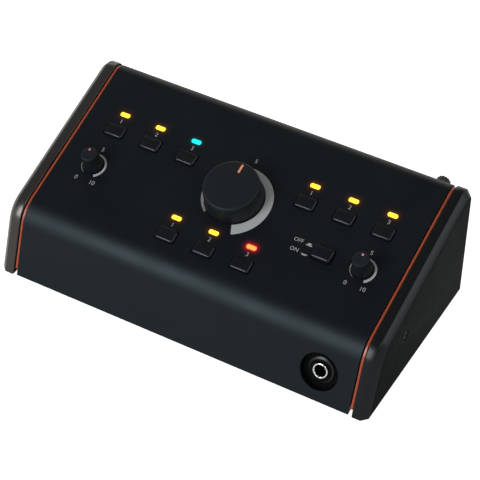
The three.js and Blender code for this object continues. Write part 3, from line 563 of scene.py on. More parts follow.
coolSheen = (0.72, 0.91, 1.0)
powderCoat = baseFinish("blackPowderCoat", {
    "colour": (0.0037, 0.0052, 0.0076),
    "shade": (0.0049, 0.0066, 0.0090),
    "roughness": (0.40, 0.47),
    "specular": 0.23,
    "sheen": coolSheen,
    "grainScale": 1700.0,
    "grainStrength": 0.35,
    "grainDepth": 0.04,
})
# painted light: the two cheeks share one coat, given as a lit and a shaded copy, the left one lighter and
# warmer in colour and sheen than the right
cheekLitAndShadedLooks = {
    "right": {
        "colour": (0.0056, 0.0064, 0.0068),
        "shade": (0.0070, 0.0078, 0.0082),
        "edgeSpecular": 0.25,
        "sheen": (0.88, 0.96, 1.0),
    },
    # the lit copy: painted lighter and warmer, with a stronger edge sheen, as painted light
    "left": {
        "colour": (0.0190, 0.0172, 0.0160),
        "shade": (0.0220, 0.0200, 0.0186),
        "edgeSpecular": 0.76,
        "sheen": (1.0, 0.95, 0.92),
    },
}
cheekCoatLitAndShaded = {side: baseFinish(f"blackCheekCoatLitAndShaded_{side}", {
    **own,
    "roughness": (0.60, 0.70),
    "specular": 0.04,
    "edgeRoughness": 0.25,
    "grainScale": 1500.0,
    "grainStrength": 0.3,
    "grainDepth": 0.04,
}) for side, own in cheekLitAndShadedLooks.items()}
orangeLacquer = baseFinish("orangeLacquer", {
    "colour": (0.43, 0.084, 0.036),
    "shade": (0.385, 0.074, 0.031),
    "roughness": (0.26, 0.34),
    "specular": 0.3,
    "coat": 0.25,
    "coatRoughness": 0.16,
    "grainStrength": 0.05,
})
knobSkin = baseFinish("softKnobSkin", {
    "colour": (0.0068, 0.0088, 0.0108),
    "shade": (0.0088, 0.0108, 0.0128),
    "roughness": (0.48, 0.58),
    "specular": 0.26,
    "sheen": coolSheen,
    "cloudScale": 120.0,
    "grainScale": 2600.0,
    "grainStrength": 0.4,
})
capPlastic = baseFinish("buttonPlastic", {
    "colour": (0.0058, 0.0074, 0.0098),
    "shade": (0.0072, 0.0088, 0.0112),
    "roughness": (0.38, 0.46),
    "specular": 0.15,
    "sheen": (0.86, 0.94, 1.0),
    # a painted highlight: stronger, glossier specular on the cap's near bevels only
    "edgeSpecular": 0.42,
    "edgeRoughness": 0.30,
    "cloudScale": 200.0,
    "grainScale": 3000.0,
    "grainStrength": 0.25,
    "grainDepth": 0.03,
})
socketPlastic = baseFinish("socketPlastic", {
    "colour": (0.0018, 0.0021, 0.0025),
    "shade": (0.0026, 0.0029, 0.0034),
    "roughness": (0.34, 0.5),
    "specular": 0.04,
    "edgeSpecular": 0.34,
    "edgeRoughness": 0.32,
    "cloudScale": 160.0,
    "grainStrength": 0.2,
})
rearPlastic = baseFinish("rearPlastic", {
    "colour": (0.0085, 0.0085, 0.0090),
    "shade": (0.0115, 0.0115, 0.0120),
    "roughness": (0.30, 0.42),
    "specular": 0.22,
    "edgeSpecular": 0.55,
    "edgeRoughness": 0.22,
    "cloudScale": 160.0,
    "grainStrength": 0.2,
})
knurledSkin = baseFinish("knurledSkin", {
    "colour": (0.022, 0.020, 0.018),
    "shade": (0.032, 0.029, 0.026),
    "roughness": (0.38, 0.48),
    "specular": 0.25,
    "cloudScale": 300.0,
    "grainStrength": 0.3,
})
footRubber = baseFinish("footRubber", {
    "colour": (0.010, 0.010, 0.010),
    "shade": (0.018, 0.018, 0.018),
    "roughness": (0.75, 0.9),
    "specular": 0.3,
    "grainStrength": 0.5,
    "grainDepth": 0.08,
})
plainSteel = baseFinish("plainSteel", {
    "colour": (0.42, 0.42, 0.43),
    "shade": (0.30, 0.30, 0.31),
    "metal": 1.0,
    "roughness": (0.25, 0.42),
    "stretch": (1.0, 1.0, 6.0),
    "grainStrength": 0.2,
})
darkScrew = baseFinish("blackenedScrew", {
    "colour": (0.012, 0.013, 0.014),
    "shade": (0.018, 0.019, 0.020),
    "roughness": (0.32, 0.45),
    "specular": 0.20,
    "cloudScale": 300.0,
})
brightRing = baseFinish("polishedRing", {
    "colour": (0.88, 0.88, 0.89),
    "shade": (0.78, 0.78, 0.80),
    "metal": 1.0,
    "roughness": (0.10, 0.18),
    "cloudScale": 300.0,
    "grainStrength": 0.04,
})
boardResist = baseFinish("boardResist", {
    "colour": (0.012, 0.075, 0.035),
    "shade": (0.02, 0.11, 0.05),
    "roughness": (0.3, 0.5),
    "cloudScale": 90.0,
})
inkLook = {
    "roughness": (0.5, 0.62),
    "specular": 0.2,
    "cloudScale": 500.0,
    "grainDepth": 0.02,
}
printInk = baseFinish("greyPrint", {
    **inkLook,
    "colour": (0.380, 0.395, 0.399),
    "shade": (0.338, 0.350, 0.354),
})
scaleInkLook = {
    **inkLook,
    "colour": (0.415, 0.432, 0.436),
    "shade": (0.376, 0.392, 0.396),
    "startLevel": 0.52,  # of the full brightness, at a scale's start
}
scaleInk = baseFinish("greyScalePrint", scaleInkLook)
paintLook = {
    "roughness": (0.35, 0.45),
    "cloudScale": 260.0,
    "grainStrength": 0.1,
}
pointerPaint = baseFinish("pointerPaint", {
    **paintLook,
    "colour": (0.86, 0.26, 0.10),
    "shade": (0.95, 0.40, 0.22),
    "roughness": (0.35, 0.5),
})
orangeDot = baseFinish("orangeDotPaint", {
    **paintLook,
    "colour": (0.66, 0.27, 0.24),
    "shade": (0.60, 0.24, 0.21),
})
pinkDot = baseFinish("pinkDotPaint", {
    **paintLook,
    "colour": (0.80, 0.30, 0.37),
    "shade": (0.72, 0.26, 0.33),
})


def dimAlong(finish, least):
    # the mesh's own "along" value, 0 at a scale's start and 1 at its end, brightens the ink from
    # least to full
    tree = finish.node_tree
    paint = tree.nodes["Principled BSDF"].inputs["Base Color"]
    level = addNode(tree, "MapRange", {"Value": meshValue(tree, "along"), "To Min": least})
    tree.links.new(addScaled(tree, paint.links[0].from_socket, level.outputs["Result"]), paint)


dimAlong(scaleInk, scaleInkLook["startLevel"])

lampLook = {
    "coreReach": 0.45,  # the share of the way to the rim that shows the core's own colour
    "roughness": 0.25,
    # where the painted glow starts: a short line along each lens, this far each way, and a distance from it,
    # in millimetres
    "glowLine": 1.6,
    "glowEdge": 1.2,
    "tones": {
        # the painted glow on the panel around each lamp: its colour at the lens's edge, and its reach in
        # millimetres
        "amber": {
            "core": (0.92, 0.73, 0.030),
            "rim": (1.0, 0.68, 0.060),
            "strength": 1.3,
            "paintedGlow": (0.160, 0.034, 0.000),
            "reach": 0.90,
        },
        "cyan": {
            "core": (0.004, 0.80, 0.84),
            "rim": (0.012, 0.62, 0.62),
            "strength": 1.15,
            "paintedGlow": (0.006, 0.120, 0.130),
            "reach": 0.6,
        },
        "red": {
            "core": (1.0, 0.25, 0.035),
            "rim": (1.0, 0.17, 0.046),
            "strength": 1.7,
            "paintedGlow": (0.950, 0.006, 0.016),
            "reach": 0.80,
        },
    },
}


def litLens(name, tone, look):
    # the lamp shows its core's colour in the lens's middle and another at its rim, by the mesh's own
    # "rim" value, and only the end of the light pipe glows, by its "lit" value
    finish, tree, shader = newFinish(name)
    ramp = addNode(tree, "ValToRGB", {"Fac": meshValue(tree, "rim")})
    core, rim = ramp.color_ramp.elements
    core.position, core.color = look["coreReach"], opaque(tone["core"])
    rim.position, rim.color = 1.0, opaque(tone["rim"])
    feed(tree, shader, {
        "Base Color": ramp.outputs["Color"],
        "Roughness": look["roughness"],
        "Emission Color": ramp.outputs["Color"],
        "Emission Strength": addNumber(tree, "MULTIPLY", meshValue(tree, "lit"), tone["strength"]),
    })
    return finish


def addLampGlow(finish, centres, look):
    # painted light: emission in the panel's paint stands in for each lamp's glow on it, and falls off
    # exponentially with the distance from the lens's edge, which is taken from a short line along the lens
    tree = finish.node_tree
    nowhere = (0.0, 0.0, 0.0)
    place = addNode(tree, "TexCoord").outputs["Object"]
    total = nowhere
    for name, tone in look["tones"].items():
        nearest = 1.0  # a metre, further than any lamp
        for centre in centres[name]:
            away = addVector(tree, "ABSOLUTE", addVector(tree, "SUBTRACT", place, centre * mm))
            away = addVector(tree, "SUBTRACT", away, (look["glowLine"] * mm, 0.0, 0.0))
            away = addVector(tree, "LENGTH", addVector(tree, "MAXIMUM", away, nowhere))
            nearest = addNumber(tree, "MINIMUM", away, nearest)
        beyond = addNumber(tree, "SUBTRACT", nearest, look["glowEdge"] * mm)
        beyond = addNumber(tree, "MAXIMUM", beyond, 0.0)
        fade = addNumber(tree, "MULTIPLY", beyond, -1.0 / (tone["reach"] * mm))
        fade = addNumber(tree, "EXPONENT", fade)
        total = addVector(tree, "ADD", addScaled(tree, tone["paintedGlow"], fade), total)
    feed(tree, tree.nodes["Principled BSDF"], {"Emission Color": total, "Emission Strength": 1.0})


lensFinish = {name: litLens(f"{name}Lens", tone, lampLook) for name, tone in lampLook["tones"].items()}
print("finishes ready")


# layout of the panel, up the slope from the sharp corner of the front bend

layout = {
    "pitch": 25.0,
    "sideGroup": 65.1,
    "upperLamps": 82.75,
    "lowerLamps": 31.8,
    "capBelowLamp": 12.3,
    "middleRow": 44.1,
    "switchBelowKnobs": 0.55,
    "phonesUp": 18.6,  # on the front wall
    "tones": {"source_3": "cyan", "mode_3": "red"},  # amber elsewhere
}
outerColumn = layout["sideGroup"] + layout["pitch"]
knobRow = (layout["upperLamps"] + layout["lowerLamps"]) / 2
groups = {
    "source": (-layout["sideGroup"], layout["upperLamps"]),
    "mode": (0.0, layout["lowerLamps"]),
    "output": (layout["sideGroup"], layout["upperLamps"]),
}
lamps = {}
for step in (-1, 0, 1):
    for group, (x, y) in groups.items():
        lamps[f"{group}_{step + 2}"] = (x + step * layout["pitch"], y)
caps = {name: (x, y - layout["capBelowLamp"]) for name, (x, y) in lamps.items()}
caps["listen_select"] = (layout["sideGroup"], layout["middleRow"] - layout["switchBelowKnobs"])
knobs = {
    "main": (0.0, knobRow),
    "aux": (-outerColumn, layout["middleRow"]),
    "phones": (outerColumn, layout["middleRow"]),
}
phonesPlace = (outerColumn, layout["phonesUp"])
toneOf = {name: layout["tones"].get(name, "amber") for name in lamps}
# painted light: a glow around each lit lens, painted into the panel's paint as emission
addLampGlow(powderCoat, {
    tone: [turnedIn((*lamps[name], 0.0), panel)[0] for name in lamps if toneOf[name] == tone]
    for tone in lampLook["tones"]
}, lampLook)


# the folded cover

coverLook = {
    # a round hole has its radius and its count of sides, and any other its width, depth and corner
    "capHole": (13.1, 9.0, 1.5),
    "lampHole": (6.28, 2.82, 1.12),
    "shaftHoles": {"main": (4.55, 40), "aux": (3.75, 40), "phones": (3.75, 40)},
    "phonesHole": (11.8, 96),
    "overrun": 1.5,
    "edge": 0.25,
}
rearLayout = {
    "columns": 7,
    "firstColumn": 57.0,
    "columnShare": 0.1092,  # of the cover's width
    "middle": 32.0,
}
columnPitch = walls["coverHalf"] * 2 * rearLayout["columnShare"]
rearColumns = [rearLayout["firstColumn"] - columnPitch * step for step in range(rearLayout["columns"])]
rearHoles = {
    # columns, heights, size
    "inputs": ([86.0, rearColumns[0]], [rearLayout["middle"]], (11.75, 64)),
    "outputs": (rearColumns[2:5], [21.0, 43.0], (5.05, 40)),
    "aux": ([rearColumns[1]], [25.0, 39.0], (4.5, 40)),
    "inlet": ([rearColumns[5]], [rearLayout["middle"]], (9.7, 11.7, 0.3)),
    "rocker": ([rearColumns[6]], [rearLayout["middle"]], (13.1, 17.3, 0.3)),
    "trim": ([100.6], [64.2], (2.55, 32)),
}


def openingLoop(size, height):
    # a circle for two measures, and a rectangle with round corners for three
    return ring(size[0], height, size[1]) if len(size) == 2 else roundedLoop(*size, height)


def holeTools(look):
    # a straight plug through the sheet at each opening, in the frame's millimetres
    openings = [(look["capHole"], place, panel) for place in caps.values()]
    openings += [(look["lampHole"], place, panel) for place in lamps.values()]
    openings += [(look["shaftHoles"][name], place, panel) for name, place in knobs.items()]
    openings.append((look["phonesHole"], phonesPlace, front))
    for columns, heights, size in rearHoles.values():
        openings += [(size, (x, -height), rear) for x in columns for height in heights]
    plugs = []
    for size, place, wall in openings:
        ends = [openingLoop(size, height) for height in (-walls["sheet"] - look["overrun"], look["overrun"])]
        points, faces = shifted(stackLoops(ends), *place)
        plugs.append((turnedIn(points, wall), faces))
    return joinSurfaces(plugs)


def makeCover(look):
    # the outer outline and the inner one, a sheet's thickness inside it, close into a ring that is
    # carried from end to end, and the openings are cut through it
    outer = wedgeOutline(0.0, 0.0)
    section = np.vstack([outer, wedgeOutline(-walls["sheet"], 0.0)[::-1]])
    points, quads = skinOver([outlineAt(x, section) for x in (-walls["coverHalf"], walls["coverHalf"])])
    faces, count = list(quads), len(section)
    for end in (0, count):
        for i in range(len(outer) - 1):  # end faces, a quad for each step along the outline
            faces.append((end + i, end + i + 1, end + count - 2 - i, end + count - 1 - i))
    cover = makePiece("coverShell", (points, faces), standing, powderCoat, "top_cover")
    cutAway(cover, newShape("holeTools", *holeTools(look)))
    softenEdges(cover, look["edge"])
    return cover


cover = makeCover(coverLook)
print("cover folded and cut:", len(cover.data.polygons), "faces")


# accent plates and cheeks

plateLook = {
    "inner": 112.6,
    "outer": 114.2,
    "recess": 0.8,
    "standoff": 3.4,
    "edge": 0.3,
    "edgeShares": (0.0, 0.35, 1.0),
}
cheekLook = {
    "inner": 114.5,
    "outer": 123.75,
    "proud": 0.5,
    "chamfer": 3.4,
    "innerBreak": 0.7,
    "arris": 0.35,
    "arrisShares": ((1.0, 0.0), (0.2, 0.25), (-0.5, 0.8)),  # back from the chamfer's corner, and inwards
    "smooth": 24.0,
    "screwBack": 46.0,
    "screwHeight": 28.8,
    "wellRadius": 3.05,
    "wellDepth": 2.7,
    "wellOverrun": 2.0,
}
screwSides = 48
hexLook = {
    "rimSwing": 1.1,  # the recess's rim on the dome, as an angle
    "chamfer": 0.02,
}
cheekScrewLook = {
    "sunk": 0.1,
    "shank": (1.5, 14.8),  # radius, and depth of its end
    "headDepth": 2.0,
    "radius": 2.9,
    "dome": 0.8,
    "domeSwing": 0.95,
    "domeSteps": 7,
    "mouth": 1.35,
    "across": 2.3,
    "recess": 0.5,
    "smooth": 32.0,
}
bothSides = (("right", 1), ("left", -1))


def sideShape(surface, side):
    # as it is for the right side, and mirrored for the left one
    points, faces = surface
    return points * [side, 1, 1], faces


def makePlates(look):
    # the visible edge is rounded a little at both arrises, and the outline is trimmed behind
    edge, recess = look["edge"], look["recess"]
    rounded = [(edge * share, -recess - edge * (1 - share) ** 2) for share in look["edgeShares"]]
    sections = [(look["inner"] + inset, grow) for inset, grow in rounded]
    sections += [(look["outer"] - inset, grow) for inset, grow in reversed(rounded)]
    loops = []
    for x, grow in sections:
        outline = wedgeOutline(grow, look["standoff"])
        limit = walls["depth"] - look["standoff"] + grow + recess
        outline[:, 0] = np.minimum(outline[:, 0], limit)
        loops.append(outlineAt(x, outline))
    for name, side in bothSides:
        makePiece(f"accentPlate_{name}", sideShape(faceEnds(loops), side), standing, orangeLacquer,
                  f"accent_plate_{name}")


def makeCheeks(look):
    # the inner arris is a quarter circle, and the outer ones are broken by two flats each
    outer, proud, chamfer, arris = (look[key] for key in ("outer", "proud", "chamfer", "arris"))
    sections = [(look["inner"] + inset, proud - drop) for inset, drop in quarterRound(look["innerBreak"])]
    breaks = [(arris * back, arris * inwards) for back, inwards in look["arrisShares"]]
    sections += [(outer - chamfer - back, proud - inwards) for back, inwards in breaks]
    sections += [(outer - inwards, proud - chamfer - back) for back, inwards in reversed(breaks)]
    surface = faceEnds([outlineAt(x, wedgeOutline(grow, 0.0)) for x, grow in sections])
    # each cheek takes its own copy of the coat, the left one painted lighter as painted light
    for name, side in bothSides:
        cheek = makePiece(f"cheekBoard_{name}", sideShape(surface, side), standing, cheekCoatLitAndShaded[name],
                          f"cheek_{name}", look["smooth"])
        cutAway(cheek, screwWell(look, side), look["smooth"])
        markEdges(cheek, lambda normal: abs(normal.x) < bevelLook["most"])


def screwAxes(look, side):
    # axes of the hole through a cheek: Z points out of the cheek
    axes = np.eye(4)
    axes[:3, :3] = np.column_stack([[0, side, 0], [0, 0, 1], [side, 0, 0]])
    axes[:3, 3] = np.array([look["outer"] * side, look["screwBack"], look["screwHeight"]]) + chassis
    return axes


def screwWell(look, side):
    # a round tool from outside the cheek down to the floor of the well for the screw's head
    ends = [(look["wellRadius"], height) for height in (-look["wellDepth"], look["wellOverrun"])]
    points, faces = turnedSolid(ends, screwSides)
    return newShape("screwWell", turnedIn(points, screwAxes(look, side)), faces)


def domedHead(look, foot):
    # rings up a dome from its edge, then the mouth and the floor of its hexagonal recess
    swing = np.linspace(0, look["domeSwing"], look["domeSteps"])
    loops = [ring(look["radius"] * math.cos(a), foot + look["dome"] * math.sin(a), screwSides) for a in swing]
    rim = foot + look["dome"] * math.sin(hexLook["rimSwing"])
    loops.append(ring(look["mouth"], rim, screwSides))
    for drop in (hexLook["chamfer"], look["recess"]):
        loops.append(hexLoop(look["across"], rim - drop, screwSides))
    return loops


def makeCheekScrews(place, look):
    top, (shank, length) = -look["sunk"], look["shank"]
    foot = top - look["headDepth"]
    profile = [(shank, top - length), (shank, foot), (look["radius"], foot)]
    loops = [ring(radius, height, screwSides) for radius, height in profile]
    surface = stackLoops(loops + domedHead(look, top - look["dome"]))
    for name, side in bothSides:
        makePiece(f"cheekScrew_{name}", surface, screwAxes(place, side), darkScrew,
                  f"cheek_screw_{name}", look["smooth"])


makePlates(plateLook)
makeCheeks(cheekLook)
makeCheekScrews(cheekLook, cheekScrewLook)
print("plates, cheeks and screws placed")


# buttons and lamps

capLook = {
    "width": 12.4,
    "depth": 8.3,
    "corner": 1.5,
    "cornerShare": 0.8,  # of each step inwards, by which the corner shrinks
    "round": 1.15,
    "proud": 1.6,
    "crown": 0.35,
    "crownShares": (0.85, 0.65, 0.4, 0.15),
    "flangeTop": -2.3,
    "flangeWidth": 1.1,
    "flangeHeight": 1.0,
    "stem": (5.6, 5.6, 0.2),
    "stemFoot": -8.9,
    "smooth": 40.0,
}
latchingLook = {**capLook, "proud": 3.0, "stemFoot": -7.9}
lensShape = {
    "width": 6.14,
    "depth": 2.68,
    "corner": 1.05,
    "proud": 0.3,
    "dome": 0.18,
    "domeShares": (0.94, 0.82, 0.62, 0.4, 0.2),
    "foot": -13.7,
    "fade": (-1.7, -1.1),
    "smooth": 50.0,
}


def makeCap(name, place, look):
    # rounded loops rise up the side, over the rounded edge, and shrink over a crown that falls to
    # both sides as the square of the distance from the middle
    width, depth, corner, proud = (look[key] for key in ("width", "depth", "corner", "proud"))
    flange = [size + 2 * look["flangeWidth"] for size in (width, depth)]
    flangeTop = look["flangeTop"]
    flangeLow = flangeTop - look["flangeHeight"]
    lower = [roundedLoop(*look["stem"], height) for height in (look["stemFoot"], flangeLow)]
    lower += [roundedLoop(*flange, corner, height) for height in (flangeLow, flangeTop)]
    lower.append(roundedLoop(width, depth, corner, flangeTop))
    upper = []
    for inset, drop in quarterRound(look["round"]):
        tight = corner - inset * look["cornerShare"]
        upper.append(roundedLoop(width - 2 * inset, depth - 2 * inset, tight, proud - drop))
    flat = [size - 2 * look["round"] for size in (width, depth)]
    for share in look["crownShares"]:
        upper.append(roundedLoop(flat[0] * share, flat[1] * share, corner * share, proud))
    for loop in upper:
        loop[:, 2] -= look["crown"] * (2 * loop[:, 0] / width) ** 2
    cap = makePiece(f"cap_{name}", shifted(stackLoops(lower + upper), *place), panel, capPlastic,
                    f"button_{name}", look["smooth"], f"{name}_cap")
    # only the bevels turned to the user or to the right get the glossy edge finish: a painted highlight
    markEdges(cap, isNearBevelOf(panel))


def makeLens(name, place, look, tone):
    # a straight light pipe, whose domed end shrinks towards the lens's long middle line; "rim" is 0
    # in the middle of the end and 1 at its edge, and "lit" is 1 at the end and falls to 0 a little
    # below the panel
    width, depth, corner = look["width"], look["depth"], look["corner"]
    low, high = look["fade"]
    heights = (look["foot"], low, high, look["proud"] - look["dome"])
    loops = [roundedLoop(width, depth, corner, height) for height in heights]
    for share in look["domeShares"]:
        inset = depth * (1 - share) / 2
        height = look["proud"] - look["dome"] * share ** 2
        loops.append(roundedLoop(width - 2 * inset, depth * share, corner * share, height))
    lens = makePiece(f"lampLens_{name}", shifted(stackLoops(loops), *place), panel, lensFinish[tone],
                     f"lens_{name}", look["smooth"])
    x, y, z = (pointsOn(panel, lens) - [*place, 0]).T
    beyond = np.maximum(np.abs(x) - (width - depth) / 2, 0)
    writeValues(lens, "rim", np.hypot(beyond, y) / (depth / 2))
    writeValues(lens, "lit", (z - low) / (high - low))


for name, place in caps.items():
    makeCap(name, place, latchingLook if name == "listen_select" else capLook)
for name, place in lamps.items():
    makeLens(name, place, lensShape, toneOf[name])
print("buttons and lamps placed")


# knobs, with hollows and hubs as in the solids

knobLook = {
    "lift": 0.6,
    "ceiling": 3.0,
    "hubFoot": 3.6,
    "hubGap": 0.1,
    "footRound": (0.25, 0.07),
    "flatRing": 0.9,
    "flatShare": 0.4,  # of the top's radius
    "smooth": 32.0,
}
mainKnobLook = {
    **knobLook,
    "baseRadius": 17.8,
    "topRadius": 17.0,
    "top": 14.0,
    "edge": 1.7,
    "wall": 2.2,
    "hub": 5.4,
    "bore": 3.2,
    "boreTop": 10.7,
    "sides": 128,
}
sideKnobLook = {
    **knobLook,
    "baseRadius": 6.2,
    "topRadius": 4.9,
    "top": 12.4,
    "edge": 0.9,
    "wall": 1.0,
    "hub": 3.6,
    "bore": 2.4,
    "boreTop": 9.1,
    "sides": 72,
}
pointerLook = {
    "span": (9.2, 15.0),
    "width": 1.4,
    "sunk": 0.66,
    "proud": 0.03,
    "edge": 0.12,
    "shoulderShare": 0.25,  # of the edge
    "corners": (0.15, 0.12, 0.1),
    "smooth": 40.0,
}
dotLook = {
    "at": 2.9,
    "turn": {"aux": -20.0, "phones": 3.0},  # degrees clockwise from the rear
    "radius": 0.7,
    "sunk": 0.2,
    "proud": 0.01,
    "dome": 0.06,
    "swing": (0.2, 1.4),
    "steps": 5,
    "sides": 28,
    "smooth": 40.0,
}


def makeKnob(name, knob, body, look):
    # from the bore's end down the hub, up the hollow, down its wall, and up the tapered outside
    base, topRadius, top, lift = look["baseRadius"], look["topRadius"], look["top"], look["lift"]
    roof = top - look["ceiling"]
    broad, slight = look["footRound"]
    profile = [
        (look["bore"], look["boreTop"]),
        (look["bore"], look["hubFoot"]),
        (look["hub"], look["hubFoot"]),
        (look["hub"], roof),
        (max(topRadius - look["wall"], look["hub"] + look["hubGap"]), roof),
        (base - look["wall"], lift),
        (base - broad, lift),
        (base - slight, lift + slight),
        (base, lift + broad),
        *[(topRadius - inset, top - drop) for inset, drop in quarterRound(look["edge"])],
        (topRadius - look["edge"] - look["flatRing"], top),
        (topRadius * look["flatShare"], top),
    ]
    surface = shifted(turnedSolid(profile, look["sides"]), *knobs[knob])
    makePiece(name, surface, panel, knobSkin, f"{knob}_knob", look["smooth"], body)


def makePointer(look, top):
    # a bar let into the knob's top, with rounded arrises
    (inner, outer), edge = look["span"], look["edge"]
    high = top + look["proud"]
    wide, tight, tightest = look["corners"]
    loops = [
        roundedLoop(look["width"] - inset, outer - inner - inset, corner, height)
        for inset, corner, height in (
            (0, wide, top - look["sunk"]),
            (0, wide, high - edge),
            (edge, tight, high - edge * look["shoulderShare"]),
            (2 * edge, tightest, high),
        )
    ]
    x, y = knobs["main"]
    makePiece("mainPointer", shifted(stackLoops(loops), x, y + (inner + outer) / 2), panel, pointerPaint,
              "main_knob_pointer", look["smooth"], "main_volume")


def makeDot(name, knob, body, finish, top, look):
    # a shallow domed dot on the knob's top face
    radius, foot = look["radius"], top + look["proud"]
    dome = np.linspace(*look["swing"], look["steps"])
    profile = [(radius, top - look["sunk"]), (radius, foot)]
    profile += [(radius * math.cos(a), foot + look["dome"] * math.sin(a)) for a in dome]
    x, y = knobs[knob]
    swing = math.radians(look["turn"][knob])
    place = (x + look["at"] * math.sin(swing), y + look["at"] * math.cos(swing))
    makePiece(name, shifted(turnedSolid(profile, look["sides"]), *place), panel, finish,
              smooth=look["smooth"], body=body)


makeKnob("mainKnob", "main", "main_volume", mainKnobLook)
makePointer(pointerLook, mainKnobLook["top"])
makeKnob("auxKnob", "aux", "aux_level", sideKnobLook)
makeKnob("phonesKnob", "phones", "phones_level", sideKnobLook)
makeDot("auxDot", "aux", "aux_level", orangeDot, sideKnobLook["top"], dotLook)
makeDot("phonesDot", "phones", "phones_level", pinkDot, sideKnobLook["top"], dotLook)
print("knobs placed")


# printed scales and numbers

printLook = {
    "thickness": 0.05,
    "sunk": 0.03,
    "curveSteps": 4,
    "labelSize": 3.9,
    "labelBelowLamp": 5.1,
    "mainTop": 27.0,
    "sideTop": 11.6,
    "sideEnds": (5.5, 11.4),
    "wordSize": 3.5,
    "switchWords": {"off": ("OFF", 46.9), "on": ("ON", 40.6)},
    "wordsEnd": 51.0,
    "rearSize": 4.2,
    "rearInputRow": 51.6,
    "rearOutputRow": 53.2,
    "rearSwitchWords": {"ON": 46.6, "OFF": 17.4},
}
scaleLook = {
    # inner radius, outer radius at the start and at the end, angles from the top, steps
    "main": (18.3, 19.6, 24.7, (-142.0, 157.0), 110),
    "side": (7.0, 7.3, 8.6, (-152.0, 150.0), 64),
}
iconLook = {
    "at": 55.0,
    "rows": {"out": 46.5, "in": 40.4},
    "tall": {"out": 1.35, "in": 0.5},
    "button": 2.3,
    "line": (4.0, 0.55),
    "lineBelow": 0.6,
    "gap": 0.3,
    "corner": 0.1,
}
inkHeights = (-printLook["sunk"], printLook["thickness"])


def printPiece(name, surface, finish=printInk, wall=panel):
    # print rides with the housing and replaces no solid
    return makePiece(name, surface, wall, finish)


def makeScale(name, knob, shape):
    # angle and share across give the point: its radius runs from a fixed inner one to an outer one
    # that grows evenly with the angle, clockwise from the top; "along" rises from 0 at the start to
    # 1 at the end, faster at first
    inner, start, end, (fromAngle, toAngle), count = shape
    x, y = knobs[knob]
    angle = np.radians(np.linspace(fromAngle, toAngle, count))
    outer, level = np.linspace(start, end, count), np.ones(count)
    low, high = inkHeights
    corners = [
        np.column_stack([x + radius * np.sin(angle), y + radius * np.cos(angle), level * height])
        for radius, height in ((inner, low), (outer, low), (outer, high), (inner, high))
    ]
    scale = printPiece(name, faceEnds(np.stack(corners, axis=1)), scaleInk)
    places = pointsOn(panel, scale)
    swing = np.degrees(np.arctan2(places[:, 0] - x, places[:, 1] - y))
    left = ((toAngle - swing) / (toAngle - fromAngle)).clip(0, 1)
    writeValues(scale, "along", 1 - left ** 2)


def makeLabel(name, words, x, y, size, look, align="CENTER", wall=panel):
    # raised print: the letters' outlines, filled and given the ink's thickness; the rear wall's axes
    # are upside down for someone who reads it, so its letters are turned half round
    curve = bpy.data.curves.new(name, "FONT")
    curve.body = words
    curve.align_x, curve.align_y = align, "CENTER"
    curve.size = size
    curve.extrude = (look["thickness"] + look["sunk"]) / 2
    curve.resolution_u = look["curveSteps"]
    writer = show(bpy.data.objects.new(name + "_outline", curve))
    data = finishedMesh(writer)
    bpy.data.objects.remove(writer)
    bpy.data.curves.remove(curve)
    points = np.array([v.co for v in data.vertices])
    points[:, 2] += (look["thickness"] - look["sunk"]) / 2
    if wall is rear:
        points[:, :2] *= -1
    faces = [tuple(polygon.vertices) for polygon in data.polygons]
    bpy.data.meshes.remove(data)
    printPiece(f"print_{name}", shifted((points, faces), x, y), wall=wall)


def makeIcon(name, look):
    # a button seen from the side over the panel's line: standing out of it, or pushed level with it
    x, y, tall = look["at"], look["rows"][name] - look["lineBelow"], look["tall"][name]
    away = look["gap"] + tall / 2

    def bar(width, depth, up):
        loops = [roundedLoop(width, depth, look["corner"], height) for height in inkHeights]
        return shifted(stackLoops(loops), x, up)

    button = bar(look["button"], tall, y + away if name == "out" else y - away)
    printPiece(f"print_switch_{name}", joinSurfaces([bar(*look["line"], y), button]))


def panelLabels(look):
    # name, words and place of each number on the panel
    for group in groups:
        for number in ("1", "2", "3"):
            x, y = lamps[f"{group}_{number}"]
            yield f"{group}_{number}", number, x, y - look["labelBelowLamp"]
    yield "main_5", "5", 0.0, knobRow + look["mainTop"]
    out, down = look["sideEnds"]
    for name in ("aux", "phones"):
        x, y = knobs[name]
        yield f"{name}_5", "5", x, y + look["sideTop"]
        yield f"{name}_0", "0", x - out, y - down
        yield f"{name}_10", "10", x + out, y - down


def rearLabels(look):
    # name, words, column and height of each number and word on the rear wall
    for name, row in (("input", look["rearInputRow"]), ("output", look["rearOutputRow"])):
        for number, x in enumerate(rearHoles[name + "s"][0], 1):
            yield f"{name}_{number}", str(number), x, row
    for words, row in look["rearSwitchWords"].items():
        yield words.lower(), words, rearHoles["rocker"][0][0], row


makeScale("mainScale", "main", scaleLook["main"])
makeScale("auxScale", "aux", scaleLook["side"])
makeScale("phonesScale", "phones", scaleLook["side"])
for label in panelLabels(printLook):
    makeLabel(*label, printLook["labelSize"], printLook)
for name, (words, y) in printLook["switchWords"].items():
    makeLabel(f"switch_{name}", words, printLook["wordsEnd"], y, printLook["wordSize"], printLook, "RIGHT")
for name in iconLook["rows"]:
    makeIcon(name, iconLook)
for name, words, x, height in rearLabels(printLook):
    makeLabel(f"rear_{name}", words, x, -height, printLook["rearSize"], printLook, wall=rear)
print("scales and numbers printed")


# headphone socket

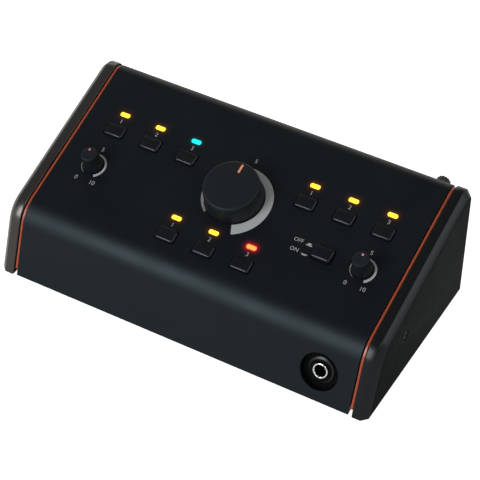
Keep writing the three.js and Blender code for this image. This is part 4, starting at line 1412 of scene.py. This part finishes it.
phonesLook = {
    "face": -2.3,
    "flange": 25.0,
    "flangeThickness": 3.0,
    "dish": 1.4,
    "barrel": 7.4,
    "length": 21.0,
    "boss": 8.3,
    "bossFoot": 0.25,
    # inwards, and below the face
    "bossShoulder": ((0.0, 0.85), (0.12, 0.62), (1.35, 0.06), (1.6, 0.0)),
    "bore": 3.5,
    "boreDepth": 18.0,
    "seat": 5.3,
    "seatDepth": 1.7,
    "seatBreak": 0.15,
    "sides": 96,
}
phonesRingLook = {
    "radius": 4.8,
    "proud": 0.9,
    "seat": 1.4,
    "shoulder": ((0.0, 0.6), (0.16, 0.22), (0.45, 0.0)),  # inwards, and below the top
    "flatEnd": 0.1,
    "mouth": ((0.18, 0.2), (0.0, 0.5)),  # outwards, and below the top
    "ridges": 12,
    "ridgeDepth": 0.16,
    "ridgeFrom": 0.2,  # the cosine past which a ridge gives way to a groove
    "sides": 120,
    "smooth": 40.0,
}


def makePhonesSocket(look):
    # a square flange with a round dish in it, a boss in the dish, and a seat and a bore in the boss
    face, boss, seat, sides = look["face"], look["boss"], look["seat"], look["sides"]
    back, floor, ledge = (face - look[key] for key in ("flangeThickness", "dish", "seatDepth"))
    loops = [
        ring(look["barrel"], face - look["length"], sides),
        ring(look["barrel"], back, sides),
        squareLoop(look["flange"], back, sides),
        squareLoop(look["flange"], face, sides),
    ]
    hole = coverLook["phonesHole"][0]
    profile = [(hole, face), (hole, floor)]
    profile += [(boss + look["bossFoot"], floor), (boss, floor + look["bossFoot"])]
    profile += [(boss - inset, face - drop) for inset, drop in look["bossShoulder"]]
    profile += [(seat + look["seatBreak"], face), (seat, face - look["seatBreak"]), (seat, ledge)]
    profile += [(look["bore"], ledge), (look["bore"], face - look["boreDepth"])]
    loops += [ring(radius, height, sides) for radius, height in profile]
    socket = makePiece("phonesSocketBody", shifted(stackLoops(loops), *phonesPlace), front, socketPlastic,
                       "phones_socket")
    markEdges(socket, isBevelOf(front))


def makePhonesRing(look, socket):
    # a bright ring whose inner edge carries short ridges, as the mouth of its contact sleeve; its
    # profile closes on itself
    sides, outer, bore = look["sides"], look["radius"], socket["bore"]
    top, foot = socket["face"] + look["proud"], socket["face"] - look["seat"]
    ridged = np.cos(look["ridges"] * evenAngles(sides)) > look["ridgeFrom"]
    ridges = bore + look["ridgeDepth"] * ridged
    profile = [(ridges, foot), (outer, foot)]
    profile += [(outer - inset, top - drop) for inset, drop in look["shoulder"]]
    profile.append(((outer + bore) / 2 - look["flatEnd"], top))
    profile += [(ridges + spread, top - drop) for spread, drop in look["mouth"]]
    profile.append((ridges, foot))
    surface = skinOver([ring(radius, height, sides) for radius, height in profile])
    makePiece("phonesRing", shifted(surface, *phonesPlace), front, brightRing,
              "phones_ferrule", look["smooth"])


makePhonesSocket(phonesLook)
makePhonesRing(phonesRingLook, phonesLook)
print("headphone socket placed")


# pieces that keep their solid's form, with softened edges

def refineNode(node, pieceName, width, finish, slot, body="housing"):
    # a copy of the solid's mesh, merged and softened, stands for it
    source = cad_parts[node]
    data = source.data.copy()
    data.transform(source.matrix_world)
    data.name = pieceName
    tidyMesh(data, isSolid=True)
    giveFinish(data, finish)
    smoothOver(data, meshLook["solidSmooth"])
    piece = show(bpy.data.objects.new(pieceName, data))
    softenEdges(piece, width)
    if finish is rearPlastic:
        keepModifiers(piece)
        markEdges(piece, isBevelOf(rear))
    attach(piece, body)
    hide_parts(node)


refined = [("base_tray", "trayPan", 0.2, powderCoat, "tray_black")]
for end in ("front", "rear"):
    for side in ("left", "right"):
        name = f"foot{end.title()}{side.title()}"
        refined.append((f"foot_{end}_{side}", name, 0.2, footRubber, "foot_rubber"))
refined += [
    ("input_left", "inputLeft", 0.25, rearPlastic, "socket_black"),
    ("input_right", "inputRight", 0.25, rearPlastic, "socket_black"),
    ("aux_input", "auxInput", 0.15, plainSteel, "socket_black"),
    ("power_inlet", "powerInlet", 0.15, rearPlastic, "socket_black"),
    ("power_rocker_housing", "rockerHousing", 0.2, rearPlastic, "socket_black"),
    ("power_rocker", "rocker", 0.25, rearPlastic, "button_black", "mains_rocker"),
    ("rear_trim_knob", "trimKnob", 0.08, knurledSkin, "knob_black", "rear_trim"),
]
for i in (1, 2, 3):
    for side in ("left", "right"):
        refined.append((f"output_{i}_{side}", f"output{i}{side.title()}", 0.2, rearPlastic, "socket_black"))
for entry in refined:
    refineNode(*entry)

outputRingLook = {
    "inner": 3.3,
    "outer": 4.25,
    "foot": 1.2,
    "top": 2.72,
    "outerShoulder": ((0.0, 0.3), (0.1, 0.08), (0.3, 0.0)),  # inwards, and below the top
    "innerShoulder": ((0.35, 0.0), (0.1, 0.1), (0.0, 0.35)),  # outwards, and below the top
    "smooth": 34.0,
}
flangeScrewLook = {
    "at": (9.9, 12.4),
    "radius": 2.15,
    "face": 2.25,
    "sunk": 0.4,
    "dome": 0.42,
    "domeSwing": 0.85,
    "domeSteps": 6,
    "mouth": 1.16,
    "across": 2.0,
    "recess": 0.9,
    "smooth": 32.0,
}


def makeOutputRings(look):
    # a bright collar at the mouth of each output's bore, rounded inwards and outwards, whose profile
    # closes on itself
    inner, outer, top = look["inner"], look["outer"], look["top"]
    profile = [(inner, look["foot"]), (outer, look["foot"])]
    profile += [(outer - inset, top - drop) for inset, drop in look["outerShoulder"]]
    profile += [(inner + spread, top - drop) for spread, drop in look["innerShoulder"]]
    profile.append(profile[0])
    surface = skinOver([ring(radius, height, screwSides) for radius, height in profile])
    columns, heights = rearHoles["outputs"][:2]
    for i, x in enumerate(columns, 1):
        for side, height in zip(("left", "right"), heights):
            makePiece(f"outputRing_{i}_{side}", shifted(surface, x, -height), rear, brightRing,
                      smooth=look["smooth"])


def makeFlangeScrews(look):
    # low domed heads with a hexagonal recess, two on each input's flange
    foot = ring(look["radius"], look["face"] - look["sunk"], screwSides)
    surface = stackLoops([foot, *domedHead(look, look["face"])])
    alongX, alongY = look["at"]
    columns, (height,) = rearHoles["inputs"][:2]
    for i, x in enumerate(columns, 1):
        for j, turn in enumerate((-1, 1), 1):
            place = (x + turn * alongX, -height + turn * alongY)
            makePiece(f"flangeScrew_{i}_{j}", shifted(surface, *place), rear, plainSteel,
                      smooth=look["smooth"])


makeOutputRings(outputRingLook)
makeFlangeScrews(flangeScrewLook)

carried = dict.fromkeys(("control_board", "main_board"), boardResist)
for pot in ("main_pot", "aux_pot", "phones_pot", "rear_trim_pot"):
    carried[pot] = plainSteel
for pot in ("main_pot", "aux_pot", "phones_pot"):
    carried[f"{pot}_shaft"] = plainSteel
for node, finish in carried.items():
    giveFinish(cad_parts[node].data, finish)
print("sockets, feet and inner pieces finished")
